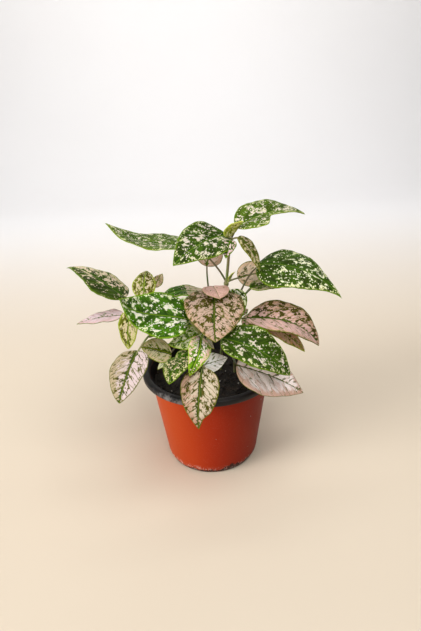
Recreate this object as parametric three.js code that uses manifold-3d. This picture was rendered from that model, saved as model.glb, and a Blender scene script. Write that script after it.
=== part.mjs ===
// A polka dot plant (Hypoestes) in its small round nursery pot.
// Millimetres, +Z up. The origin is the middle of the pot's base, where it meets the table.
// The camera side, or front, is -Y and the viewer's right is +X.

import * as THREE from 'three';
import { mergeVertices } from 'three/addons/utils/BufferGeometryUtils.js';
import Module from 'manifold-3d';

const wasm = await Module();
wasm.setup();

// Driving dimensions of the pot
const POT_HEIGHT = 78;
const RIM_RADIUS = 52.5;
const RIM_INNER_RADIUS = 48.5;
const RIM_DROP = 4.5; // height of the turned-down skirt
const SKIRT_WALL = 1.5;
const TOP_RADIUS = 46.4; // outside of the wall, just under the rim
const LOW_RADIUS = 37.2; // outside of the wall, above the rounded foot
const FOOT_HEIGHT = 9;
const FOOT_RADIUS = 33.5; // the ring that the pot stands on
const POT_WALL = 1.6;
const POT_SIDES = 40;

// Floor of the pot: a flat middle, a raised drainage channel round it, and the standing ring
const FLOOR_MIDDLE_RADIUS = 13;
const CHANNEL_INNER = 15;
const CHANNEL_OUTER = 23;
const CHANNEL_LIFT = 2;
const STANDING_RING_INNER = 25;
const DRAIN_HOLES = 8;
const DRAIN_RADIUS = 2.2;

// Soil
const SOIL_TOP = 68;
const SOIL_CROWN = 1.5; // how much higher the soil is in the middle
const SOIL_CROWN_RADIUS = 18;
const SOIL_DEPTH_OF_STEM = 12;
const CLEARANCE = 0.3;

// Stems and leaf stalks
const STEM_RADIUS = 1.2;
const SHOOT_RADIUS = 0.95;
const STALK_RADIUS = 0.75;
const STEM_SIDES = 6;
const STALK_SIDES = 5;
const STALK_STEPS = 4;
const STALK_BEND = 0.15; // share of its length over which a stalk bends at each end
const STALK_IN_BLADE = 4; // how far a stalk runs on under the blade as its midrib

// Leaf blades
const BLADE_THICKNESS = 0.7;
const BROAD_BLADE = {
  rows: [0.012, 0.08, 0.2, 0.35, 0.52, 0.7, 0.86, 0.985],
  columns: [-1, -0.5, 0, 0.5, 1],
};
const SMALL_BLADE = { rows: [0.012, 0.12, 0.35, 0.65, 0.985], columns: [-1, 0, 1] };
const BROAD_FROM = 15; // blades from this width up get the finer grid
const ROUNDING_AT_BASE = 0.5; // power of the outline where it leaves the stalk
const EDGE_CURL = 0.1; // how far the margins bend down, as a share of the half width
const MARGIN_WAVE = 0.02; // height of the waved margin, as a share of the width
const WAVES = 2.5;

// Each stem stands in the soil at foot and runs through its points.
// shoots are thinner branches. leaves are [name, where the stalk starts, base of the blade, tip, form].
// In form, width is the blade's, and these are in millimetres or degrees:
//   roll   turn of the blade round its own length
//   arch   rise of the midrib between base and tip
//   flick  the same, nearer the tip
//   sway   sideways bow of the midrib
//   fold   how far each half is folded up from the midrib
//   taper  power of the outline at the tip: less is blunter
//   pinch  how much narrower one side is beyond pinchAt: above 0 for the + side, below 0 for the - side
const STEMS = {
  stem_tall: {
    foot: [9, 6],
    points: [[11, 6, 100], [13, 6, 131], [15, 5, 143], [18, 3, 172], [19, 1, 179]],
    shoots: [],
    leaves: [
      ['crown_right', [18, 3, 173], [23, 1, 186], [75, 20, 189],
        { width: 34, roll: 14, arch: 7, fold: 15, pinch: 0.6, pinchAt: 0.36 }],
      ['crown_bud', [19, 1, 177], [16, -2, 180], [27, -11, 193], { width: 11, roll: 160, arch: -3 }],
      ['crown_narrow', [19, 2, 176], [24, -4, 181], [38, -12, 157], { width: 12.5, roll: 10, arch: 3 }],
      ['crown_pale', [19, 1, 176], [18, -7, 179], [14, -22, 171], { width: 11, arch: 1 }],
      ['crown_left', [18, 3, 172], [16, 4, 180], [-21, -32, 171],
        { width: 34, roll: -30, arch: 4, sway: 2, fold: 13, taper: 0.95 }],
      ['upper_left', [15, 5, 143], [-5, 14, 169], [-74, 32, 186],
        { width: 40, arch: -2, flick: -5, fold: 11 }],
      ['upper_bud', [15, 4, 143], [17, 4, 145], [22, 3, 153], { width: 5, roll: -25, arch: 1 }],
      ['upper_right', [15, 5, 143], [24, 11, 145], [62, 24, 146],
        { width: 22, roll: 45, arch: -1, sway: -1 }],
      ['middle_front', [13, 6, 131], [6.5, -2, 140], [4.5, -50, 123],
        { width: 43, roll: -5, arch: 5, sway: 1, flick: -2, taper: 0.85 }],
      ['middle_side', [13, 6, 128], [19, 3, 139], [23, -11, 118], { width: 19, roll: 14, arch: 3 }],
      ['middle_back', [14, 6, 138], [5, -2, 144], [9, -24, 143], { width: 20, arch: 1, taper: 0.7 }],
      ['middle_left', [13, 6, 129], [1, 4, 137], [-36, -1, 131],
        { width: 21, roll: -2, arch: 3, flick: 4, fold: 7, taper: 0.7 }],
    ],
  },
  stem_left: {
    foot: [-14, 2],
    points: [[-17, 0, 88], [-28, -4, 108], [-42, -4, 124], [-46, -1, 131]],
    shoots: [[[-28, -4, 106], [-36, -18, 114], [-41, -29, 119]]],
    leaves: [
      ['left_top', [-45, -2, 129], [-60, 1, 137], [-106, 22, 155],
        { width: 33, roll: 3, arch: 1, flick: 4, fold: 5, taper: 1.2 }],
      ['left_young', [-45, -2, 130], [-46, 0, 136], [-45, 22, 150], { width: 18, roll: -3, arch: 4 }],
      ['left_bud', [-44, -2, 128], [-39, 11, 140], [-33, 22, 147], { width: 10, roll: 6, arch: 1 }],
      ['left_low', [-42, -4, 124], [-54, -23, 136], [-57, -28, 109],
        { width: 17, arch: 2, sway: -1, taper: 0.85 }],
      ['left_pale', [-42, -4, 123], [-63, 0, 123], [-99, 1, 117], { width: 23, arch: 2, sway: -1 }],
      ['left_hanging', [-41, -29, 119], [-48, -42, 115], [-58, -76, 96],
        { width: 26, roll: 3, arch: 3, fold: 12, taper: 0.8 }],
      ['left_folded', [-24, -3, 100], [-27, -25, 102], [-46, -39, 116],
        { width: 18, roll: -58, arch: -3, sway: 2, flick: -1 }],
      ['left_rear', [-28, -4, 107], [-36, 14, 106], [-72, 42, 98], { width: 30, roll: -5, arch: 5 }],
    ],
  },
  stem_front: {
    foot: [0, -12],
    points: [[0, -13, 84], [-1, -18, 100], [-2, -24, 112]],
    shoots: [[[0, -14, 84], [-2, -30, 92], [-4, -44, 100], [-4, -49, 105]]],
    leaves: [
      ['front_broad', [-1, -18, 100], [-13, -21, 127], [-57, -38, 152],
        { width: 37, roll: -41, flick: -9, arch: 0, taper: 0.95 }],
      ['front_right', [-2, -23, 111], [9.5, -36, 118.5], [55.5, -46.5, 93],
        { width: 34, roll: 25, arch: 8, fold: 16, taper: 0.9 }],
      ['front_rose', [-2, -24, 112], [-5.5, -29, 117], [-14, -52, 99],
        { width: 16, roll: -20, arch: 5, sway: -2, flick: 2, taper: 0.95 }],
      ['front_tip', [-1, -20, 105], [-2, -22, 111], [4, -24, 104], { width: 7, roll: 10, arch: 0 }],
      ['front_tuck', [-1, -17, 97], [-4, -18, 115], [-29, -27, 111],
        { width: 20, roll: -27, arch: 0, flick: -3 }],
      ['front_under', [0, -15, 90], [-15, -24, 103], [-25, -36, 99], { width: 10, roll: -18, arch: 1 }],
      ['front_scrap', [0, -14, 86], [-31, -19, 94], [-38, -26, 90], { width: 7, arch: 0 }],
      ['front_small', [-3, -36, 95], [-16, -37, 104], [-27, -62, 100],
        { width: 17, roll: -5, arch: 3, sway: 2, taper: 0.75 }],
      ['front_white', [-2, -38, 97], [-4, -41, 101], [13, -39, 105], { width: 15, roll: 35, arch: 0 }],
      ['front_hanging', [-4, -46, 102], [-5, -47, 103], [-9, -64, 64],
        { width: 27, arch: 4, flick: 2, fold: 5, pinch: -0.4, pinchAt: 0.76 }],
    ],
  },
  stem_right: {
    foot: [20, 2],
    points: [[20, 2, 84], [19, 2, 104], [19, 2, 116], [20, 3, 120]],
    shoots: [[[20, 2, 82], [30, -10, 88], [38, -12, 96]]],
    leaves: [
      ['right_top', [19, 2, 116], [38, 4, 157], [97, -14, 135],
        { width: 42, roll: 22, arch: 7, sway: -5, flick: 0, fold: -2, taper: 1.3 }],
      ['right_rear', [19, 2, 115], [32, -1, 141], [74, 10, 141],
        { width: 17, roll: 10, arch: 1, fold: 12 }],
      ['right_pink', [19, 2, 114], [29, -8, 120], [81, -18, 100],
        { width: 35, roll: 18, arch: 10, sway: 1.5, flick: 3, fold: 21, taper: 0.75 }],
      ['right_brown', [32, -11, 90], [42, -12, 117], [70, -23, 98],
        { width: 20, roll: 9, arch: 3, taper: 0.95 }],
      ['right_low', [20, 2, 84], [19, -36, 97], [68, -34, 70], { width: 36, roll: 32, arch: 4 }],
      ['right_back_high', [20, 3, 119], [36, 34, 128], [76, 64, 136], { width: 28, arch: 4 }],
      ['right_back_low', [20, 2, 100], [30, 20, 98], [76, 50, 88], { width: 32, roll: 5, arch: 6 }],
    ],
  },
  stem_back: {
    foot: [1, 22],
    points: [[1, 23, 90], [2, 28, 112], [2, 28, 128]],
    shoots: [],
    leaves: [
      ['back_top', [2, 28, 127], [1, 29, 149], [8, 58, 165], { width: 22, roll: 20, arch: 1 }],
      ['back_left', [1, 24, 96], [-10, 36, 94], [-38, 78, 78], { width: 34, arch: 6 }],
      ['back_right', [1, 24, 100], [12, 38, 97], [30, 86, 84], { width: 34, arch: 6 }],
      ['back_middle', [2, 27, 110], [-4, 42, 108], [-12, 86, 100], { width: 30, roll: -5, arch: 5 }],
      ['back_small', [2, 28, 120], [10, 40, 116], [34, 62, 106], { width: 20, arch: 4 }],
    ],
  },
};

const PINCH_REACH = 0.07; // Over this share of the length a pinched side narrows
const LEAF_DEFAULTS = {
  width: 20,
  roll: 0,
  arch: 3,
  flick: 0,
  sway: 0,
  fold: 9,
  taper: 1.05,
  pinch: 0,
  pinchAt: 0.5,
};

// Colours of the plain solids
const TERRACOTTA = 0xb4482a;
const SOIL_BROWN = 0x241b16;
const LEAF_GREENS = [0x4f7a34, 0x6c8f3c, 0x5c8a3a, 0x47702f, 0x52803a];

// Joining and cutting solids

function toSolid(geometry) {
  geometry.deleteAttribute('normal');
  geometry.deleteAttribute('uv');
  const merged = mergeVertices(geometry, 1e-4);
  const vertProperties = Float32Array.from(merged.attributes.position.array);
  const triVerts = Uint32Array.from(merged.index.array);
  return new wasm.Manifold(new wasm.Mesh({ numProp: 3, vertProperties, triVerts }));
}

function toGeometry(solid) {
  const mesh = solid.getMesh();
  const geometry = new THREE.BufferGeometry();
  geometry.setAttribute('position', new THREE.BufferAttribute(mesh.vertProperties, 3));
  geometry.setIndex(new THREE.BufferAttribute(mesh.triVerts, 1));
  geometry.computeVertexNormals();
  return geometry;
}

function joined(geometries) {
  return geometries.map(toSolid).reduce((whole, next) => whole.add(next));
}

function namedMesh(name, geometry, color, roughness) {
  const material = new THREE.MeshStandardMaterial({ color, roughness, metalness: 0 });
  const mesh = new THREE.Mesh(geometry, material);
  mesh.name = name;
  return mesh;
}

// Pot

function wallRadius(z) {
  const rise = (z - FOOT_HEIGHT) / (POT_HEIGHT - RIM_DROP - FOOT_HEIGHT);
  return LOW_RADIUS + (TOP_RADIUS - LOW_RADIUS) * rise;
}

// Outline of the pot's section, from the middle of the floor's underside round to its upper side
function potProfile() {
  const skirtBottom = POT_HEIGHT - RIM_DROP;
  const floorTop = POT_WALL;
  const innerFoot = FOOT_RADIUS - POT_WALL * 0.6;
  const outline = [
    [0, 0],
    [FLOOR_MIDDLE_RADIUS, 0],
    [CHANNEL_INNER, CHANNEL_LIFT],
    [CHANNEL_OUTER, CHANNEL_LIFT],
    [STANDING_RING_INNER, 0],
    [FOOT_RADIUS, 0],
    [FOOT_RADIUS + 2, FOOT_HEIGHT * 0.25],
    [LOW_RADIUS - 0.4, FOOT_HEIGHT * 0.6],
    [LOW_RADIUS, FOOT_HEIGHT],
    [TOP_RADIUS, skirtBottom],
    [TOP_RADIUS + 0.3, POT_HEIGHT - SKIRT_WALL],
    [RIM_RADIUS - SKIRT_WALL, POT_HEIGHT - SKIRT_WALL],
    [RIM_RADIUS - SKIRT_WALL, skirtBottom],
    [RIM_RADIUS - 0.2, skirtBottom],
    [RIM_RADIUS, POT_HEIGHT - 1.2],
    [RIM_RADIUS - 1, POT_HEIGHT],
    [RIM_INNER_RADIUS, POT_HEIGHT],
    [RIM_INNER_RADIUS - 1.2, POT_HEIGHT - 1],
    [TOP_RADIUS - POT_WALL, skirtBottom - 2],
    [LOW_RADIUS - POT_WALL, FOOT_HEIGHT],
    [innerFoot, floorTop],
    [STANDING_RING_INNER, floorTop],
    [CHANNEL_OUTER, CHANNEL_LIFT + floorTop],
    [CHANNEL_INNER, CHANNEL_LIFT + floorTop],
    [FLOOR_MIDDLE_RADIUS, floorTop],
    [0, floorTop],
  ];
  return outline.map(([r, z]) => new THREE.Vector2(r, z));
}

// A lathe turns about Y; this stands it up on Z
function lathe(profile, sides) {
  return new THREE.LatheGeometry(profile, sides).rotateX(Math.PI / 2);
}

function post(radius, bottom, top, x, y, sides) {
  const geometry = new THREE.CylinderGeometry(radius, radius, top - bottom, sides);
  return geometry.rotateX(Math.PI / 2).translate(x, y, (top + bottom) / 2);
}

function makePot() {
  let pot = toSolid(lathe(potProfile(), POT_SIDES));
  const ring = (CHANNEL_INNER + CHANNEL_OUTER) / 2;
  for (let i = 0; i < DRAIN_HOLES; i += 1) {
    const angle = (2 * Math.PI * (i + 0.5)) / DRAIN_HOLES;
    const x = ring * Math.cos(angle);
    const y = ring * Math.sin(angle);
    pot = pot.subtract(toSolid(post(DRAIN_RADIUS, -1, 6, x, y, 8)));
  }
  return namedMesh('pot', toGeometry(pot), TERRACOTTA, 0.45);
}

// Soil, with a plain hole for each stem

function makeSoil() {
  const bottom = POT_WALL + CHANNEL_LIFT + CLEARANCE;
  const gap = POT_WALL + CLEARANCE;
  const profile = [
    [0, bottom],
    [FOOT_RADIUS - POT_WALL - 1, bottom],
    [LOW_RADIUS - gap - 0.1, FOOT_HEIGHT],
    [wallRadius(SOIL_TOP) - gap - 0.1, SOIL_TOP],
    [SOIL_CROWN_RADIUS, SOIL_TOP + SOIL_CROWN],
    [0, SOIL_TOP + SOIL_CROWN],
  ];
  let soil = toSolid(lathe(profile.map(([r, z]) => new THREE.Vector2(r, z)), POT_SIDES));
  const holeBottom = SOIL_TOP - SOIL_DEPTH_OF_STEM - CLEARANCE;
  for (const { foot } of Object.values(STEMS)) {
    const hole = post(STEM_RADIUS + CLEARANCE + 0.15, holeBottom, POT_HEIGHT, ...foot, 8);
    soil = soil.subtract(toSolid(hole));
  }
  return namedMesh('soil', toGeometry(soil), SOIL_BROWN, 0.95);
}

// Stems and stalks

function tube(curve, radius, sides, steps) {
  const corners = [];
  for (let i = 0; i < sides; i += 1) {
    const angle = (2 * Math.PI * i) / sides;
    corners.push(new THREE.Vector2(radius * Math.cos(angle), radius * Math.sin(angle)));
  }
  const options = { extrudePath: curve, steps, bevelEnabled: false };
  return new THREE.ExtrudeGeometry(new THREE.Shape(corners), options);
}

function vector([x, y, z]) {
  return new THREE.Vector3(x, y, z);
}

function stemTube({ foot, points }) {
  const [x, y] = foot;
  const buried = [[x, y, SOIL_TOP - SOIL_DEPTH_OF_STEM], [x, y, SOIL_TOP - 4], [x, y, SOIL_TOP + 3]];
  const curve = new THREE.CatmullRomCurve3([...buried, ...points].map(vector));
  return tube(curve, STEM_RADIUS, STEM_SIDES, 14);
}

function shootTube(points) {
  return tube(new THREE.CatmullRomCurve3(points.map(vector)), SHOOT_RADIUS, STEM_SIDES, 5);
}

// Leaf blades

// The directions of a blade: along it, out of its upper face, and across it
function bladeAxes(base, tip, roll) {
  const along = tip.clone().sub(base).normalize();
  const face = new THREE.Vector3(0, 0, 1);
  face.addScaledVector(along, -along.z).normalize();
  face.applyAxisAngle(along, THREE.MathUtils.degToRad(roll));
  const across = new THREE.Vector3().crossVectors(along, face);
  return { along, face, across };
}

// Half the width of the blade at t, which runs from 0 at the base to 1 at the tip
function halfWidth(t, { width, taper }) {
  const widest = ROUNDING_AT_BASE / (ROUNDING_AT_BASE + taper);
  const outline = (s) => s ** ROUNDING_AT_BASE * (1 - s) ** taper;
  return ((width / 2) * outline(t)) / outline(widest);
}

// The share of that width that a pinched side has left at t
function sideShare(t, u, { pinch, pinchAt }) {
  if (u * pinch <= 0) return 1;
  const reached = THREE.MathUtils.smoothstep(t, pinchAt - PINCH_REACH, pinchAt + PINCH_REACH);
  return 1 - Math.abs(pinch) * reached;
}

// Where the midrib is at t, and which way the upper face looks there
function midrib(leaf, t) {
  const { base, tip, axes, form } = leaf;
  const length = tip.distanceTo(base);
  const bow = 4 * t * (1 - t);
  const late = 6.75 * t * t * (1 - t);
  const point = base.clone().addScaledVector(axes.along, length * t);
  point.addScaledVector(axes.face, form.arch * bow + form.flick * late);
  point.addScaledVector(axes.across, form.sway * bow);
  const slope = form.arch * (4 - 8 * t) + form.flick * 6.75 * (2 * t - 3 * t * t);
  const heading = axes.along.clone().multiplyScalar(length).addScaledVector(axes.face, slope);
  heading.normalize();
  const up = axes.face.clone().addScaledVector(heading, -heading.dot(axes.face)).normalize();
  return { point, heading, up };
}

// A point of the blade's middle surface; u runs from -1 to 1 across it
function bladePoint(leaf, t, u, offset) {
  const { form, axes, phase } = leaf;
  const { point, up } = midrib(leaf, t);
  const half = halfWidth(t, form) * sideShare(t, u, form);
  const fold = THREE.MathUtils.degToRad(form.fold);
  const wave = form.width * MARGIN_WAVE * u * u * Math.sin(2 * Math.PI * WAVES * t + phase + u);
  const folded = half * (Math.abs(u) * Math.sin(fold) - EDGE_CURL * u * u);
  const lift = folded + (wave * half * 2) / form.width;
  point.addScaledVector(axes.across, half * u * Math.cos(fold));
  return point.addScaledVector(up, lift + offset);
}

// A closed thin shell: an upper and a lower sheet, split into triangles alike, and a rim between them
function bladeGeometry(leaf) {
  const grid = leaf.form.width < BROAD_FROM ? SMALL_BLADE : BROAD_BLADE;
  const columns = grid.columns.length;
  const rows = grid.rows.length;
  const positions = [];
  for (const side of [1, -1]) {
    for (const t of grid.rows) {
      for (const u of grid.columns) {
        positions.push(...bladePoint(leaf, t, u, (side * BLADE_THICKNESS) / 2).toArray());
      }
    }
  }
  const sheet = rows * columns;
  const at = (row, column) => row * columns + column;
  const indices = [];
  for (let r = 0; r < rows - 1; r += 1) {
    for (let c = 0; c < columns - 1; c += 1) {
      const [a, b, d, e] = [at(r, c), at(r, c + 1), at(r + 1, c), at(r + 1, c + 1)];
      indices.push(a, b, e, a, e, d);
      indices.push(sheet + a, sheet + e, sheet + b, sheet + a, sheet + d, sheet + e);
    }
  }
  const rim = [];
  for (let c = 0; c < columns - 1; c += 1) rim.push(at(0, c));
  for (let r = 0; r < rows - 1; r += 1) rim.push(at(r, columns - 1));
  for (let c = columns - 1; c > 0; c -= 1) rim.push(at(rows - 1, c));
  for (let r = rows - 1; r > 0; r -= 1) rim.push(at(r, 0));
  rim.forEach((a, i) => {
    const b = rim[(i + 1) % rim.length];
    indices.push(a, sheet + b, b, a, sheet + a, sheet + b);
  });
  const geometry = new THREE.BufferGeometry();
  geometry.setAttribute('position', new THREE.Float32BufferAttribute(positions, 3));
  geometry.setIndex(indices);
  return geometry;
}

// A stalk leaves the stem upwards, comes in along the blade and runs on under it
function stalkTube(leaf) {
  const { point, heading, up } = midrib(leaf, 0);
  const reach = leaf.from.distanceTo(point);
  const end = point.clone().addScaledVector(heading, STALK_IN_BLADE).addScaledVector(up, -0.3);
  const rising = leaf.from.clone().add(new THREE.Vector3(0, 0, reach * STALK_BEND));
  const arriving = point.clone().addScaledVector(heading, -reach * STALK_BEND);
  const curve = new THREE.CubicBezierCurve3(leaf.from, rising, arriving, end);
  return tube(curve, STALK_RADIUS, STALK_SIDES, STALK_STEPS);
}

function makeLeaf([name, from, base, tip, form], index) {
  const full = { ...LEAF_DEFAULTS, ...form };
  const ends = { base: vector(base), tip: vector(tip) };
  const axes = bladeAxes(ends.base, ends.tip, full.roll);
  return { name, from: vector(from), ...ends, axes, form: full, phase: index * 2.4 };
}

function makeStem([name, stem], index) {
  const leaves = stem.leaves.map(makeLeaf);
  const pieces = [
    stemTube(stem),
    ...stem.shoots.map(shootTube),
    ...leaves.map(stalkTube),
    ...leaves.map(bladeGeometry),
  ];
  return namedMesh(name, toGeometry(joined(pieces)), LEAF_GREENS[index], 0.6);
}

const plant = new THREE.Group();
plant.add(makePot());
plant.add(makeSoil());
Object.entries(STEMS).forEach((entry, index) => plant.add(makeStem(entry, index)));

export default plant;
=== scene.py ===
"""Dressed scene of a potted polka dot plant, on the frozen CAD frame.

Metres, +Z up, origin in the middle of the pot's base. Tables of places are in millimetres.
"""
import math
import random

import bpy
import numpy as np
from bpy.props import FloatProperty, FloatVectorProperty, IntProperty, PointerProperty
from mathutils import Matrix, Vector, noise


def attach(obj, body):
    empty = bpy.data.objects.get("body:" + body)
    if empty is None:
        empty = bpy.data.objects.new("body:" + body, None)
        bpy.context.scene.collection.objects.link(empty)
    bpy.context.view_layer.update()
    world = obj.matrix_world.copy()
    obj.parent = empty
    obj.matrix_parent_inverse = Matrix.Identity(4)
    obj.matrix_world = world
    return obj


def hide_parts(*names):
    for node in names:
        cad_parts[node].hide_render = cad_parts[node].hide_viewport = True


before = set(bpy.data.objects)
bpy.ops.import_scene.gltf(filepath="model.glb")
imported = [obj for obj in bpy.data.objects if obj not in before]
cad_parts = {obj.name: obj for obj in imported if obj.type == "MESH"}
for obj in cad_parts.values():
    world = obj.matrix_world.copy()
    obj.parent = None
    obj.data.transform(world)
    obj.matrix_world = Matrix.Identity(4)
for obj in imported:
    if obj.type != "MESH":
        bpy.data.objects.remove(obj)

bl_info = {
    "name": "Potted polka dot plant",
    "version": (1, 0, 0),
    "blender": (4, 5, 0),
    "location": "3D View > Sidebar > Plant",
    "description": "Dresses the solids of a potted polka dot plant with fine leaves, stems, soil and pot",
    "category": "Object",
}

MM = 0.001
UP = np.array([0.0, 0.0, 1.0])
TURN = 2 * math.pi

# The pot's section, as in the solids
POT_HEIGHT = 78.0
RIM_RADIUS = 52.5
RIM_INNER_RADIUS = 48.5
RIM_DROP = 4.5
SKIRT_WALL = 1.5
TOP_RADIUS = 46.4
LOW_RADIUS = 37.2
FOOT_HEIGHT = 9.0
FOOT_RADIUS = 33.5
POT_WALL = 1.6
FLOOR_MIDDLE_RADIUS = 13.0
CHANNEL_INNER = 15.0
CHANNEL_OUTER = 23.0
CHANNEL_LIFT = 2.0
STANDING_RING_INNER = 25.0
SOIL_TOP = 68.0
SOIL_CROWN = 1.5
SOIL_DEPTH_OF_STEM = 12.0

# What a leaf has unless its row says otherwise. Lengths are in millimetres, angles in degrees, and
# the rest are shares.
#   width, taper       width of the blade, and how early it narrows
#   roll               turn about the line from base to tip
#   arch, flick        rise of the middle of the midrib, and of its outer part
#   sway               bend of the midrib sideways
#   fold               how far the two halves turn up along the midrib
#   pinch, pinch_at    how much narrower one side of the outer part is, and where that starts
#   cover              share of the blade that is spotted
#   cell, stretch      size of the smallest spots, and how long they are along the veins
#   patch              size of the patches they gather in
#   rim, rib           width of the green margin, and of the green band on the midrib
#   tipward, sideward  more spots towards the tip, and on the + side
#   tint               more of the second spot colour on the + side
#   lines, veins       dark lines along the side veins, and how many veins each side has
#   specks             share of tiny spots
#   dull               how dull the underside is
#   pale               how pale the stalk is
USUAL = dict(
    width=20, roll=0, arch=3, flick=0, sway=0, fold=9, taper=1.05, pinch=0, pinch_at=0.5,
    cover=0.3, cell=1.7, stretch=1.1, patch=4.5, rim=1.2, rib=0.8, tipward=0.0, sideward=0.0,
    tint=0.0, lines=0.0, veins=8.5, specks=0.16, dull=1.0, pale=0.12,
)


def leaf(name, start, base, tip, green, spot, **own):
    """A leaf with its stalk's start on the stem, its blade's base and tip, and its colours."""
    return USUAL | dict(name=name, start=start, base=base, tip=tip, green=green, spot=spot) | own


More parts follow.
